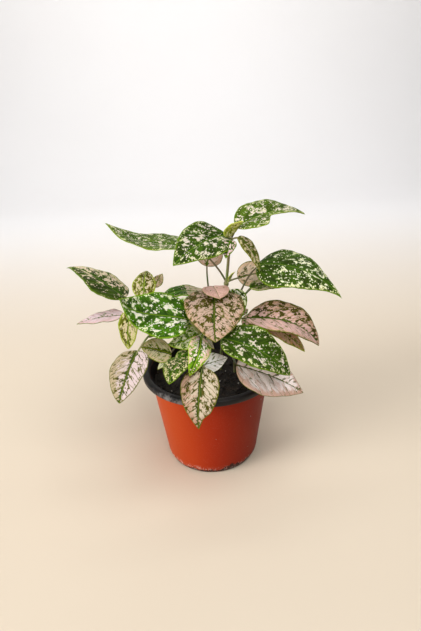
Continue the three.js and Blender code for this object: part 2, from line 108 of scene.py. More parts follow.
LEAVES = {
    "stem_tall": [
        leaf("crown_right", (18, 3, 173), (23, 1, 186), (75, 20, 189), "fresh", "blush",
             width=34, roll=14, arch=7, fold=15, pinch=0.6, pinch_at=0.36, cover=0.28, cell=1.15, patch=4,
             rim=0.8, tipward=0.2, specks=0.32),
        leaf("crown_bud", (19, 1, 177), (16, -2, 180), (27, -11, 193), "yellow", "lemon",
             width=11, roll=160, arch=-3, cover=0.45, cell=1.0, stretch=1.2, patch=2.5, rim=0.5, rib=0.5,
             specks=0.25, dull=0.0, pale=0.6),
        leaf("crown_narrow", (19, 2, 176), (24, -4, 181), (38, -12, 157), "olive", "sand",
             width=12.5, roll=10, cover=0.42, cell=1.0, stretch=2.6, patch=2.6, rim=0.7, rib=0.7,
             lines=0.4, pale=0.5),
        leaf("crown_pale", (19, 1, 176), (18, -7, 179), (14, -22, 171), "mid", "lilac",
             width=11, arch=1, cover=0.42, cell=1.0, stretch=1.0, patch=2.5, rim=0.6, pale=0.7),
        leaf("crown_left", (18, 3, 172), (16, 4, 180), (-21, -32, 171), "mid", "blush",
             width=34, roll=-30, arch=4, sway=2, fold=13, taper=0.95, cell=1.2, patch=4.6, rim=0.9,
             specks=0.3),
        leaf("upper_left", (15, 5, 143), (-5, 14, 169), (-74, 32, 186), "fresh", "blush",
             width=40, arch=-2, flick=-5, fold=11, cover=0.24, cell=1.0, stretch=1.2, patch=4, specks=0.4),
        leaf("upper_bud", (15, 4, 143), (17, 4, 145), (22, 3, 153), "yellow", "lemon",
             width=5, roll=-25, arch=1, cover=0.4, cell=1.2, rim=0.3, pale=0.7),
        leaf("upper_right", (15, 5, 143), (24, 11, 145), (62, 24, 146), "olive", "peach",
             width=22, roll=45, arch=-1, sway=-1, cover=0.85, cell=1.2, patch=5, rim=0.8, sideward=0.2,
             lines=0.3, veins=6, pale=0.45),
        leaf("middle_front", (13, 6, 131), (6.5, -2, 140), (4.5, -50, 123), "umber", "rosy",
             width=43, roll=-5, arch=5, sway=1, flick=-2, taper=0.85, cover=0.5, cell=1.0, stretch=2.0,
             patch=3.2, rim=0.6, rib=1.3, lines=0.9, veins=7, tipward=0.4),
        leaf("middle_side", (13, 6, 128), (19, 3, 139), (23, -11, 118), "mid", "white",
             width=19, roll=14, cover=0.4, cell=1.1, patch=3.2, rim=0.9, specks=0.2),
        leaf("middle_back", (14, 6, 138), (5, -2, 144), (9, -24, 143), "moss", "rose",
             arch=1, taper=0.7, cover=1.2, rim=0.2, rib=0.25, specks=0.0, lines=0.1, veins=6),
        leaf("middle_left", (13, 6, 129), (1, 4, 137), (-36, -1, 131), "bright", "sand",
             width=21, roll=-2, flick=4, fold=7, taper=0.7, cover=0.5, cell=1.0, stretch=1.5, patch=3.2,
             rim=1.3, tipward=-3.0, sideward=0.1),
    ],
    "stem_left": [
        leaf("left_top", (-45, -2, 129), (-60, 1, 137), (-106, 22, 155), "deep", "sand",
             width=33, roll=3, arch=1, flick=4, fold=5, taper=1.2, cover=0.35, cell=1.3, stretch=1.0,
             patch=4.8, rim=1.0, rib=1.4, tipward=0.7, specks=0.34, sideward=0.35),
        leaf("left_young", (-45, -2, 130), (-46, 0, 136), (-45, 22, 150), "bronze", "sand",
             width=18, roll=-3, arch=4, cover=0.36, cell=0.9, stretch=1.3, patch=3, rim=0.8, rib=0.9,
             specks=0.3, pale=0.5),
        leaf("left_bud", (-44, -2, 128), (-39, 11, 140), (-33, 22, 147), "lime", "peach",
             width=10, roll=6, arch=1, cover=1.6, cell=1.0, rim=0.5, rib=0.5, lines=0.4, veins=6,
             dull=0.0),
        leaf("left_low", (-42, -4, 124), (-54, -23, 136), (-57, -28, 109), "bronze", "straw",
             width=17, arch=2, sway=-1, taper=0.85, cover=0.5, cell=1.1, patch=3.4, rim=1.3,
             sideward=-0.2, pale=0.4),
        leaf("left_pale", (-42, -4, 123), (-63, 0, 123), (-99, 1, 117), "dull", "lilac",
             width=23, arch=2, sway=-1, cover=1.0, cell=1.5, stretch=1.6, patch=5, rim=0.4, rib=0.7,
             lines=0.25, veins=6),
        leaf("left_hanging", (-41, -29, 119), (-48, -42, 115), (-58, -76, 96), "umber", "shell",
             width=26, roll=3, fold=12, taper=0.8, cover=0.75, cell=1.05, stretch=1.3, patch=4, rim=0.6,
             rib=1.4, lines=1.0, veins=7, tint=0.5, pale=0.55),
        leaf("left_folded", (-24, -3, 100), (-27, -25, 102), (-46, -39, 116), "lime", "butter",
             width=18, roll=-58, arch=-3, sway=2, flick=-1, cover=0.85, cell=0.95, stretch=2.0, patch=3,
             rim=0.6, rib=1.3, lines=0.5, veins=7),
        leaf("left_rear", (-28, -4, 107), (-36, 14, 106), (-72, 42, 98), "mid", "blush",
             width=30, roll=-5, arch=5, cell=1.5),
    ],
    "stem_front": [
        leaf("front_broad", (-1, -18, 100), (-13, -21, 127), (-57, -38, 152), "bright", "white",
             width=37, roll=-41, flick=-9, arch=0, taper=0.95, cover=0.31, cell=1.4, stretch=1.2, rim=1.1,
             rib=1.4, specks=0.32, pale=0.9),
        leaf("front_right", (-2, -23, 111), (9.5, -36, 118.5), (55.5, -46.5, 93), "mid", "blush",
             width=34, roll=25, arch=8, fold=16, taper=0.9, cover=0.27, cell=1.5, stretch=1.2, patch=3.9,
             rim=1.1, specks=0.3, pale=0.75),
        leaf("front_rose", (-2, -24, 112), (-5.5, -29, 117), (-14, -52, 99), "vivid", "petal",
             width=16, roll=-20, arch=5, sway=-2, flick=2, taper=0.95, cover=0.55, cell=1.0, stretch=1.3,
             patch=3.2, rim=0.6, rib=1.1, lines=0.5, tipward=-0.7, specks=0.3, pale=0.6),
        leaf("front_tip", (-1, -20, 105), (-2, -22, 111), (4, -24, 104), "yellow", "snow",
             width=7, roll=10, arch=0, cover=0.9, rim=0.4, rib=0.3, cell=1.2),
        leaf("front_tuck", (-1, -17, 97), (-4, -18, 115), (-29, -27, 111), "vivid", "cream",
             roll=-27, arch=0, flick=-3, cover=0.5, cell=0.9, stretch=1.3, patch=2.8, rim=0.6, specks=0.3,
             lines=0.4),
        leaf("front_under", (0, -15, 90), (-15, -24, 103), (-25, -36, 99), "bright", "straw",
             width=10, roll=-18, arch=1, cover=0.4, cell=0.9, stretch=1.3, patch=2.8, rim=0.6, specks=0.3),
        leaf("front_scrap", (0, -14, 86), (-31, -19, 94), (-38, -26, 90), "olive", "white",
             width=7, arch=0, cover=0.9, rim=0.4, rib=0.3),
        leaf("front_small", (-3, -36, 95), (-16, -37, 104), (-27, -62, 100), "mid", "straw",
             width=17, roll=-5, sway=2, taper=0.75, cover=0.36, cell=0.95, stretch=1.2, patch=2.6,
             rim=0.7, rib=0.7, specks=0.32, pale=0.5),
        leaf("front_white", (-2, -38, 97), (-4, -41, 101), (13, -39, 105), "moss", "snow",
             width=15, roll=35, arch=0, cover=2.0, rim=0.2, rib=0.35, lines=0.3, veins=4.5, specks=0.0,
             dull=0.0, pale=0.7),
        leaf("front_hanging", (-4, -46, 102), (-5, -47, 103), (-9, -64, 64), "umber", "clay",
             width=27, arch=4, flick=2, fold=5, pinch=-0.4, pinch_at=0.76, cover=0.68, cell=1.05,
             stretch=1.2, patch=3.4, rim=0.9, rib=1.3, lines=1.0, veins=7, tint=0.4, pale=0.55),
    ],
    "stem_right": [
        leaf("right_top", (19, 2, 116), (38, 4, 157), (97, -14, 135), "mid", "cream",
             width=42, roll=22, arch=7, sway=-5, fold=-2, taper=1.3, cover=0.21, cell=1.35, stretch=1.2,
             patch=3.7, rim=0.9, rib=0.9, tipward=0.35, specks=0.3),
        leaf("right_rear", (19, 2, 115), (32, -1, 141), (74, 10, 141), "fresh", "sand",
             width=17, roll=10, arch=1, fold=12, cover=0.55, cell=1.1, rim=0.8, tipward=0.4),
        leaf("right_pink", (19, 2, 114), (29, -8, 120), (81, -18, 100), "umber", "pink",
             width=35, roll=18, arch=10, sway=1.5, flick=3, fold=21, taper=0.75, cover=0.72, cell=1.2,
             stretch=2.0, patch=4.2, rib=1.1, lines=0.85, veins=7, specks=0.24, sideward=0.35, tint=-0.2),
        leaf("right_brown", (32, -11, 90), (42, -12, 117), (70, -23, 98), "bronze", "russet",
             roll=9, taper=0.95, cover=0.8, cell=1.1, stretch=1.4, patch=3.6, rim=0.8, lines=0.4,
             tint=-0.2),
        leaf("right_low", (20, 2, 84), (19, -36, 97), (68, -34, 70), "umber", "blaze",
             width=36, roll=32, arch=4, cover=1.9, stretch=1.8, patch=6, rim=0.35, rib=0.55, lines=0.75,
             veins=5, specks=0.0, tint=0.15),
        leaf("right_back_high", (20, 3, 119), (36, 34, 128), (76, 64, 136), "mid", "blush",
             width=28, arch=4, cell=1.5),
        leaf("right_back_low", (20, 2, 100), (30, 20, 98), (76, 50, 88), "mid", "pink",
             width=32, roll=5, arch=6, cover=0.6, cell=1.5, stretch=1.5, rib=1.3, lines=0.5, veins=7),
    ],
    "stem_back": [
        leaf("back_top", (2, 28, 127), (1, 29, 149), (8, 58, 165), "moss", "rosy",
             width=22, roll=20, arch=1, cover=0.8, cell=1.5, rim=0.6, lines=0.4, veins=6),
        leaf("back_left", (1, 24, 96), (-10, 36, 94), (-38, 78, 78), "mid", "blush",
             width=34, arch=6, cover=0.32, cell=1.5),
        leaf("back_right", (1, 24, 100), (12, 38, 97), (30, 86, 84), "mid", "pink",
             width=34, arch=6, cover=0.6, cell=1.5, stretch=1.5, rib=1.4, lines=0.5, veins=7),
        leaf("back_middle", (2, 27, 110), (-4, 42, 108), (-12, 86, 100), "bright", "white",
             width=30, roll=-5, arch=5, patch=5),
        leaf("back_small", (2, 28, 120), (10, 40, 116), (34, 62, 106), "mid", "blush",
             arch=4, cover=0.45, stretch=1.2),
    ],
}

# Each stem stands in the soil at its foot and runs through its points. Shoots are thinner branches.
STEMS = {
    "stem_tall": dict(
        foot=(9, 6),
        points=[(11, 6, 100), (13, 6, 131), (15, 5, 143), (18, 3, 172), (19, 1, 179)],
        shoots=[],
    ),
    "stem_left": dict(
        foot=(-14, 2),
        points=[(-17, 0, 88), (-28, -4, 108), (-42, -4, 124), (-46, -1, 131)],
        shoots=[[(-28, -4, 106), (-36, -18, 114), (-41, -29, 119)]],
    ),
    "stem_front": dict(
        foot=(0, -12),
        points=[(0, -13, 84), (-1, -18, 100), (-2, -24, 112)],
        shoots=[[(0, -14, 84), (-2, -30, 92), (-4, -44, 100), (-4, -49, 105)]],
    ),
    "stem_right": dict(
        foot=(20, 2),
        points=[(20, 2, 84), (19, 2, 104), (19, 2, 116), (20, 3, 120)],
        shoots=[[(20, 2, 82), (30, -10, 88), (38, -12, 96)]],
    ),
    "stem_back": dict(
        foot=(1, 22),
        points=[(1, 23, 90), (2, 28, 112), (2, 28, 128)],
        shoots=[],
    ),
}

# Dark green, light green and margin green
GREENS = {
    "deep": ((0.017, 0.03, 0.0015), (0.039, 0.076, 0.003), (0.15, 0.24, 0.012)),
    "mid": ((0.018, 0.034, 0.0015), (0.044, 0.1, 0.003), (0.17, 0.28, 0.012)),
    "fresh": ((0.036, 0.064, 0.0025), (0.08, 0.15, 0.005), (0.25, 0.35, 0.016)),
    "bright": ((0.02, 0.056, 0.0015), (0.058, 0.18, 0.003), (0.24, 0.43, 0.016)),
    "vivid": ((0.05, 0.12, 0.003), (0.14, 0.33, 0.007), (0.4, 0.6, 0.03)),
    "lime": ((0.06, 0.095, 0.004), (0.19, 0.26, 0.01), (0.45, 0.54, 0.035)),
    "yellow": ((0.16, 0.22, 0.01), (0.52, 0.62, 0.04), (0.76, 0.84, 0.12)),
    "olive": ((0.045, 0.048, 0.004), (0.12, 0.125, 0.01), (0.25, 0.27, 0.025)),
    "moss": ((0.032, 0.036, 0.003), (0.065, 0.084, 0.006), (0.16, 0.2, 0.015)),
    "umber": ((0.04, 0.033, 0.004), (0.085, 0.072, 0.008), (0.17, 0.18, 0.02)),
    "bronze": ((0.07, 0.055, 0.005), (0.12, 0.14, 0.01), (0.42, 0.52, 0.03)),
    "dull": ((0.05, 0.06, 0.01), (0.1, 0.12, 0.02), (0.2, 0.26, 0.05)),
}
RIB_GREEN = (0.026, 0.075, 0.006)

# The two colours that spots run between
SPOTS = {
    "snow": ((0.95, 0.94, 0.92), (0.92, 0.86, 0.82)),
    "white": ((0.86, 0.83, 0.73), (0.82, 0.86, 0.5)),
    "cream": ((0.82, 0.82, 0.6), (0.82, 0.82, 0.44)),
    "straw": ((0.74, 0.6, 0.42), (0.64, 0.6, 0.28)),
    "blush": ((0.72, 0.63, 0.55), (0.66, 0.66, 0.34)),
    "sand": ((0.68, 0.54, 0.42), (0.64, 0.56, 0.31)),
    "shell": ((0.67, 0.54, 0.54), (0.47, 0.37, 0.24)),
    "butter": ((0.97, 0.9, 0.64), (0.94, 0.78, 0.5)),
    "clay": ((0.62, 0.52, 0.4), (0.54, 0.34, 0.25)),
    "petal": ((0.96, 0.83, 0.8), (0.8, 0.52, 0.4)),
    "lemon": ((0.94, 0.96, 0.6), (0.94, 0.9, 0.44)),
    "peach": ((0.98, 0.79, 0.62), (0.9, 0.62, 0.42)),
    "blaze": ((0.99, 0.88, 0.86), (0.66, 0.42, 0.33)),
    "pink": ((0.7, 0.46, 0.42), (0.58, 0.35, 0.24)),
    "lilac": ((0.84, 0.66, 0.7), (0.72, 0.48, 0.48)),
    "rosy": ((0.58, 0.41, 0.33), (0.52, 0.33, 0.22)),
    "rose": ((0.7, 0.44, 0.38), (0.6, 0.35, 0.28)),
    "russet": ((0.78, 0.55, 0.4), (0.64, 0.38, 0.17)),
}


# Settings


def count_setting(name, description, default, least=0):
    return IntProperty(name=name, description=description, default=default, min=least)


def strength_setting(name, description, default):
    return FloatProperty(name=name, description=description, default=default, min=0)


def length_setting(name, description, default):
    return FloatProperty(
        name=name, description=description, default=default, min=0, unit="LENGTH", subtype="DISTANCE",
    )


def angle_setting(name, description, degrees):
    return FloatProperty(
        name=name, description=description, default=math.radians(degrees), unit="ROTATION", subtype="ANGLE",
    )


def colour_setting(name, description, default):
    return FloatVectorProperty(name=name, description=description, default=default, subtype="COLOR")


class PotSettings(bpy.types.PropertyGroup):
    sides: count_setting("Sides", "Faces round the pot", 160, least=24)
    clay: colour_setting("Outside", "Colour of the outer layer of the plastic", (0.4, 0.027, 0.006))
    lip: colour_setting("Inside", "Colour of the inner layer, which the rim shows", (0.006, 0.0055, 0.006))


class SoilSettings(bpy.types.PropertyGroup):
    crumbs: count_setting("Crumbs", "Loose crumbs on the soil", 900)
    perlite: count_setting("Perlite", "White grains in the soil", 18)
    lump: length_setting("Lumpiness", "How far the soil's surface rises and falls", 0.0016)


class StemSettings(bpy.types.PropertyGroup):
    sides: count_setting("Sides", "Faces round a stem", 14, least=6)
    stem_radius: length_setting("Stem radius", "Radius of a main stem at the soil", 0.0012)
    shoot_radius: length_setting("Shoot radius", "Radius of a side shoot", 0.00095)
    stalk_radius: length_setting("Stalk radius", "Radius of a leaf stalk", 0.00075)
    hairs: count_setting("Hairs", "Short hairs on each stem", 420)


class LeafSettings(bpy.types.PropertyGroup):
    rows: count_setting("Rows", "Rows of faces along a large blade", 96, least=8)
    columns: count_setting("Columns", "Rows of faces across a large blade", 56, least=4)
    thickness: length_setting("Thickness", "Thickness of a blade near its midrib", 0.00055)
    relief: length_setting("Relief", "How far the blade swells between the side veins", 0.00038)


class StageSettings(bpy.types.PropertyGroup):
    daylight: strength_setting("Daylight", "Strength of the window light, in watts", 23.0)
    fill: strength_setting("Fill", "Strength of the light from all round", 0.13)
    tilt: angle_setting("Tilt", "How far the camera looks down", 24.4)
    turn: angle_setting("Turn", "How far the camera turns to the right", 0.4)
    roll: angle_setting("Roll", "How far the camera is rolled", 2.3)


class PlantSettings(bpy.types.PropertyGroup):
    pot: PointerProperty(type=PotSettings, name="Pot", description="The nursery pot")
    soil: PointerProperty(type=SoilSettings, name="Soil", description="The soil and what lies on it")
    stems: PointerProperty(type=StemSettings, name="Stems", description="Stems, shoots and leaf stalks")
    leaves: PointerProperty(type=LeafSettings, name="Leaves", description="Leaf blades")
    stage: PointerProperty(type=StageSettings, name="Stage", description="Floor, light and camera")


# Meshes


def make_object(name, vertices, faces, materials, groups=None):
    """A smooth mesh object from places in millimetres; groups gives each face's material."""
    mesh = bpy.data.meshes.new(name)
    mesh.from_pydata((np.asarray(vertices, float) * MM).tolist(), [], faces)
    for material in materials:
        mesh.materials.append(material)
    mesh.polygons.foreach_set("use_smooth", [True] * len(mesh.polygons))
    if groups is not None:
        mesh.polygons.foreach_set("material_index", groups)
    mesh.update()
    piece = bpy.data.objects.new(name, mesh)
    bpy.context.scene.collection.objects.link(piece)
    return piece


def seat(piece, slot, *nodes):
    """Makes a piece part of the plant."""
    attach(piece, "root")
    if nodes:
        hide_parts(*nodes)


def add_uv(mesh, name, values):
    """A UV map from one (u, v) per vertex."""
    layer = mesh.uv_layers.new(name=name)
    corners = np.zeros(len(mesh.loops), int)
    mesh.loops.foreach_get("vertex_index", corners)
    layer.uv.foreach_set("vector", np.asarray(values, np.float32)[corners].ravel())


def grid_faces(rows, columns, start=0, flip=False, around=False):
    """Quads of a grid of vertices that is stored row by row."""
    faces = []
    last = columns if around else columns - 1
    for r in range(rows - 1):
        for c in range(last):
            d = (c + 1) % columns
            quad = [start + r * columns + c, start + r * columns + d,
                    start + (r + 1) * columns + d, start + (r + 1) * columns + c]
            faces.append(quad[::-1] if flip else quad)
    return faces


class Pile:
    """Vertices, faces and a value for each vertex, gathered into one mesh."""

    def __init__(self):
        self.vertices, self.faces, self.values = [], [], []

    def add(self, shape, value=0.0):
        vertices, faces = shape
        start = len(self.vertices)
        self.vertices.extend(vertices)
        self.faces.extend([[start + i for i in face] for face in faces])
        values = np.broadcast_to(np.asarray(value, float), (len(vertices),))
        self.values.extend(values.tolist())

    def piece(self, name, material):
        return make_object(name, self.vertices, self.faces, [material])


# Shader trees


class Value:
    """An output in a shader tree; arithmetic with it makes further nodes."""

    def __init__(self, tree, socket):
        self.tree, self.socket = tree, socket

    def __add__(self, other):
        return self.tree.math("ADD", self, other)

    def __mul__(self, other):
        return self.tree.math("MULTIPLY", self, other)

    def __sub__(self, other):
        return self.tree.math("SUBTRACT", self, other)

    def __rsub__(self, other):
        return self.tree.math("SUBTRACT", other, self)

    def __truediv__(self, other):
        return self.tree.math("DIVIDE", self, other)

    def __rtruediv__(self, other):
        return self.tree.math("DIVIDE", other, self)

    def __abs__(self):
        return self.tree.math("ABSOLUTE", self)

    __radd__ = __add__


class Tree:
    """Short names for making and linking shader nodes."""

    def __init__(self, tree):
        self.tree = tree

    def node(self, kind, inputs=None, **settings):
        """The outputs of a new node."""
        made = self.tree.nodes.new("ShaderNode" + kind)
        for key, value in settings.items():
            setattr(made, key, value)
        for key, value in (inputs or {}).items():
            self.feed(made.inputs[key], value)
        return made.outputs

    def value(self, kind, inputs=None, output=0, **settings):
        """One output of a new node."""
        return Value(self, self.node(kind, inputs, **settings)[output])

    def feed(self, socket, value):
        if isinstance(value, Value):
            self.tree.links.new(value.socket, socket)
        elif isinstance(value, tuple) and len(value) == 3 and socket.type == "RGBA":
            socket.default_value = (*value, 1.0)
        else:
            socket.default_value = value

    def math(self, operation, a, b=0.0, clamp=False):
        return self.value("Math", {0: a, 1: b}, operation=operation, use_clamp=clamp)

    def larger(self, a, b):
        return self.math("MAXIMUM", a, b)

    def step(self, value, low, high):
        """0 up to low, 1 from high on, smooth between; a low above high turns this round."""
        inputs = {"Value": value, "From Min": low, "From Max": high}
        return self.value("MapRange", inputs, interpolation_type="SMOOTHSTEP")

    def fade(self, value, low, high):
        """1 up to low, 0 from high on, smooth between."""
        return 1.0 - self.step(value, low, high)

    def mix(self, share, a, b):
        return self.value("Mix", {0: share, 6: a, 7: b}, output=2, data_type="RGBA")

    def brighten(self, colour, share):
        return self.value("HueSaturation", {"Color": colour, "Value": share})

    def noise(self, vector, scale, detail=2.0, roughness=0.5):
        inputs = {"Vector": vector, "Scale": scale, "Detail": detail, "Roughness": roughness}
        return self.value("TexNoise", inputs, "Fac")

    def split(self, kind, whole):
        """The three parts of a colour or of a place."""
        return [Value(self, socket) for socket in self.node("Separate" + kind, {0: whole})]

    def vector(self, x, y, z):
        return self.value("CombineXYZ", {"X": x, "Y": y, "Z": z})


class Paint(Tree):
    """A material and the nodes that feed its surface."""

    def __init__(self, name):
        self.material = bpy.data.materials.new(name)
        self.material.use_nodes = True
        super().__init__(self.material.node_tree)
        self.surface = self.tree.nodes["Principled BSDF"].inputs

    def where(self):
        return self.value("TexCoord", output="Object")

    def relief(self, height, strength, depth):
        """Bumps of the given depth in metres."""
        inputs = {"Height": height, "Strength": strength, "Distance": depth}
        self.feed(self.surface["Normal"], self.value("Bump", inputs))

    def finish(self, colour, rough, specular=None):
        self.feed(self.surface["Base Color"], colour)
        self.feed(self.surface["Roughness"], rough)
        if specular is not None:
            self.feed(self.surface["Specular IOR Level"], specular)
        return self.material


# Leaf markings

MM_PER_UV = 10.0  # UV maps keep the pattern's places in centimetres
# Side veins slant, so a cell's sides in the pattern's places differ from those on the blade
ACROSS_VEINS = 1.1
ALONG_VEINS = 0.8
OTHER_SIDE = 0.35  # the veins of one side leave the midrib between those of the other
VEIN_WANDER = 0.55
FORK_SLANT = 0.06
PATCH_SPREAD = 0.42  # how much of the range of the patches' noise the cover runs through
PATCH_EDGE = 5.0
BARE_BESIDE_VEINS = 0.75
UNDER_GREEN = (0.24, 0.31, 0.13)
UNDER_SPOT = (0.68, 0.44, 0.36)
UNDER_VEIN = (0.4, 0.44, 0.22)

PATTERN_KEYS = (
    "cell", "stretch", "patch", "cover", "rim", "rib", "tipward", "sideward", "tint", "lines", "specks",
)
PATTERN_INPUTS = (*PATTERN_KEYS, "seed", "spacing", "under")
PATTERN_COLOURS = ("dark green", "light green", "margin green", "first spot", "second spot")


class Markings(Tree):
    """Spots in cells between the veins, a green margin and midrib, and veins.

    The UV maps are Blade, which is (across, along) as shares, Veins, which is (where the side
    vein leaves the midrib, place across), and Edge, which is (distance from the margin, place along).
    """

    def __init__(self, group):
        super().__init__(group)
        sockets = group.nodes.new("NodeGroupInput").outputs
        self.given = {socket.name: Value(self, socket) for socket in sockets}
        self.across, self.along, _ = self.split("XYZ", self.value("UVMap", uv_map="Blade"))
        self.leaves_rib_at, self.sideways = self.places("Veins")
        self.from_edge, self.lengthwise = self.places("Edge")
        self.from_rib = abs(self.sideways)
        self.flat = self.vector(self.leaves_rib_at, self.sideways, self.given["seed"])
        self.grain = self.noise(self.flat, 1.7, 3.0, 0.65)
        self.tone = self.noise(self.flat, 0.16, 3.0)

    def places(self, uv_map):
        """Both places of a UV map, in millimetres."""
        u, v, _ = self.split("XYZ", self.value("UVMap", uv_map=uv_map))
        return u * MM_PER_UV, v * MM_PER_UV

    def shifted(self, place, scale, reach):
        """Places moved about by a noise."""
        push = self.value("TexNoise", {"Vector": place, "Scale": scale, "Detail": 2.0}, "Color")
        push = self.value("VectorMath", {0: push, 1: (0.5, 0.5, 0.5)}, operation="SUBTRACT")
        push = self.value("VectorMath", {0: push, "Scale": reach}, operation="SCALE")
        return self.value("VectorMath", {0: place, 1: push}, operation="ADD")

    def cells(self, place, randomness):
        """Distance from the middle of a place's cell, and the cell's three draws."""
        made = self.node("TexVoronoi", {"Vector": place, "Scale": 1.0, "Randomness": randomness})
        return Value(self, made["Distance"]), self.split("Color", Value(self, made["Color"]))

    def from_line(self, turns):
        """How far a place is from the nearest of the lines that turns counts."""
        return abs(self.math("FRACT", turns) - 0.5) * self.given["spacing"]

    def find_veins(self):
        """Side veins, which wander a little and fork, and the midrib."""
        other_side = self.math("GREATER_THAN", self.across, 0.0) * OTHER_SIDE
        wander = self.noise(self.flat, 0.16, 3.0, 0.6) - 0.5
        turns = self.leaves_rib_at / self.given["spacing"] + other_side + wander * VEIN_WANDER
        self.from_vein = self.from_line(turns)
        forks = self.fade(self.from_line(turns + self.from_rib * FORK_SLANT), 0.06, 0.32)
        forks = forks * self.step(self.from_rib, 2.5, 4.0)
        self.veins = self.larger(self.fade(self.from_vein, 0.14, 0.46), forks)
        self.midrib = self.fade(self.from_rib, 0.15, 0.5)

    def find_cells(self):
        """Uneven cells, longer along the side veins, with a draw for each."""
        cell, stretch = self.given["cell"], self.given["stretch"]
        row = self.leaves_rib_at / (cell * ACROSS_VEINS)
        column = self.sideways / (cell * (stretch * ALONG_VEINS))
        place = self.vector(row, column, self.given["seed"])
        self.place = self.shifted(self.shifted(place, 1.6, 0.55), 5.5, 0.5)
        _, self.draw = self.cells(self.place, 1.0)

    def find_room(self):
        """Room for spots inside the margin and beside the midrib, with uneven borders."""
        rim = self.given["rim"]
        rib = self.given["rib"] * (1.15 - self.along * 0.7)
        self.inside = self.step(self.from_edge * (self.draw[2] * 0.5 + 0.75), rim * 0.45, rim)
        self.room = self.inside * self.step(self.from_rib * (self.draw[1] * 0.9 + 0.45), rib * 0.55, rib)
        # Side veins end where the margin begins
        self.veins = self.veins * self.inside

    def gathered(self):
        """How likely a cell is to be a spot, by the patches that spots gather in."""
        given = self.given
        spread = self.vector(self.lengthwise, self.sideways, given["seed"] * 3.0)
        gather = self.noise(spread, 1.0 / given["patch"], 2.0, 0.6)
        wanted = given["cover"] + given["tipward"] * (self.along - 0.4) + given["sideward"] * self.across
        level = 0.5 + (0.5 - wanted) * PATCH_SPREAD
        return self.math("ADD", (gather - level) * PATCH_EDGE, 0.5, clamp=True)

    def large_spots(self):
        """Cells that are spots, and a halo in the cells that nearly are."""
        near_vein = self.fade(self.from_vein, 0.1, 1.2) * self.fade(self.from_rib, 1.5, 8.0)
        kept = 1.0 - near_vein * self.given["lines"] * BARE_BESIDE_VEINS
        likely = self.gathered() * kept * self.room * 0.97
        margin = likely - self.draw[0]
        return self.step(margin, 0.0, 0.03), self.step(margin, -0.26, -0.2) * self.step(likely, 0.05, 0.2)

    def tiny_spots(self):
        """Round spots, and a row of them just inside the margin."""
        size = 0.45 + self.given["cell"] * 0.75
        place = self.vector(self.lengthwise / size, self.sideways / size, self.given["seed"])
        distance, draw = self.cells(place, 0.85)
        near_edge = self.inside * self.fade(self.from_edge, 2.0, 3.4)
        chance = self.given["specks"] * (self.room + near_edge * 1.2)
        within = 0.2 + draw[1] * 0.16 - (distance - self.grain * 0.12)
        return self.step(chance - draw[0], 0.0, 0.02) * self.step(within, 0.0, 0.05)

    def dark_lines(self):
        """Dark side veins, broken into dashes."""
        dashes = self.step(self.noise(self.place, 0.4, 2.0), 0.36, 0.46)
        return self.veins * dashes * self.given["lines"]

    def green(self):
        given = self.given
        light, margin = given["light green"], given["margin green"]
        green = self.mix(self.step(self.tone, 0.36, 0.64), given["dark green"], light)
        green = self.mix(self.step(self.grain, 0.4, 0.75) * 0.35, green, light)
        green = self.mix(self.fade(self.from_rib, 0.8, given["rib"] + 1.2) * 0.75, green, RIB_GREEN)
        green = self.mix(self.fade(self.from_edge, 0.1, given["rim"] + 0.6) * 0.8, green, margin)
        return self.mix(self.larger(self.veins * 0.25, self.midrib) * 0.6, green, margin)

    def spot_colour(self):
        """The second colour comes in towards the margin."""
        given = self.given
        second = self.draw[1] * 0.45 + self.tone * 0.5 + given["tint"] * self.across
        second = second + 0.24 - self.step(self.from_edge, 0.5, 6.0) * 0.4
        spot = self.mix(self.step(second, 0.25, 0.75), given["first spot"], given["second spot"])
        return self.brighten(spot, 0.86 + self.grain * 0.28)

    def underside(self, colour, spots):
        """Paler and duller than the upper side."""
        under = self.mix(0.45, colour, self.mix(spots * 0.8, UNDER_GREEN, UNDER_SPOT))
        under = self.mix(self.larger(self.veins, self.midrib) * 0.35, under, UNDER_VEIN)
        return self.mix(self.given["under"], colour, under)

    def results(self):
        """Colour, height and spots."""
        self.find_veins()
        self.find_cells()
        self.find_room()
        spots, halo = self.large_spots()
        spots = self.larger(spots, self.tiny_spots()) * (1.0 - self.dark_lines())
        green, spot = self.green(), self.spot_colour()
        yellower = self.mix(0.12, self.mix(0.6, green, self.given["margin green"]), spot)
        inputs = {"Vector": self.flat, "Scale": 0.8, "Randomness": 1.0}
        net = self.value("TexVoronoi", inputs, "Distance", feature="DISTANCE_TO_EDGE")
        net = self.fade(net, 0.02, 0.16)
        colour = self.mix(spots, self.mix(halo, green, yellower), self.mix(net * 0.1, spot, green))
        height = self.grain * 0.5 - self.veins * 0.8 - net * 0.35
        return {"colour": self.underside(colour, spots), "height": height, "spots": spots}


def leaf_group():
    """The node group that marks every leaf."""
    group = bpy.data.node_groups.new("Polka dots", "ShaderNodeTree")
    for kind, direction, names in (
        ("Float", "INPUT", PATTERN_INPUTS), ("Color", "INPUT", PATTERN_COLOURS),
        ("Color", "OUTPUT", ["colour"]), ("Float", "OUTPUT", ["height", "spots"]),
    ):
        for name in names:
            group.interface.new_socket(name, in_out=direction, socket_type="NodeSocket" + kind)
    markings = Markings(group)
    sockets = group.nodes.new("NodeGroupOutput").inputs
    for key, value in markings.results().items():
        markings.feed(sockets[key], value)
    return group


def leaf_material(name, group, row, seed, spacing, under):
    t = Paint(name)
    values = {key: row[key] for key in PATTERN_KEYS}
    values.update(seed=seed, spacing=spacing, under=under * row["dull"])
    values.update(zip(PATTERN_COLOURS, (*GREENS[row["green"]], *SPOTS[row["spot"]])))
    colour, height, spots = (Value(t, socket) for socket in t.node("Group", values, node_tree=group))
    t.relief(height, 0.5, 0.0005)
    return t.finish(colour, 0.46 + 0.14 * under + spots * 0.08, specular=0.08)


# Leaf blades

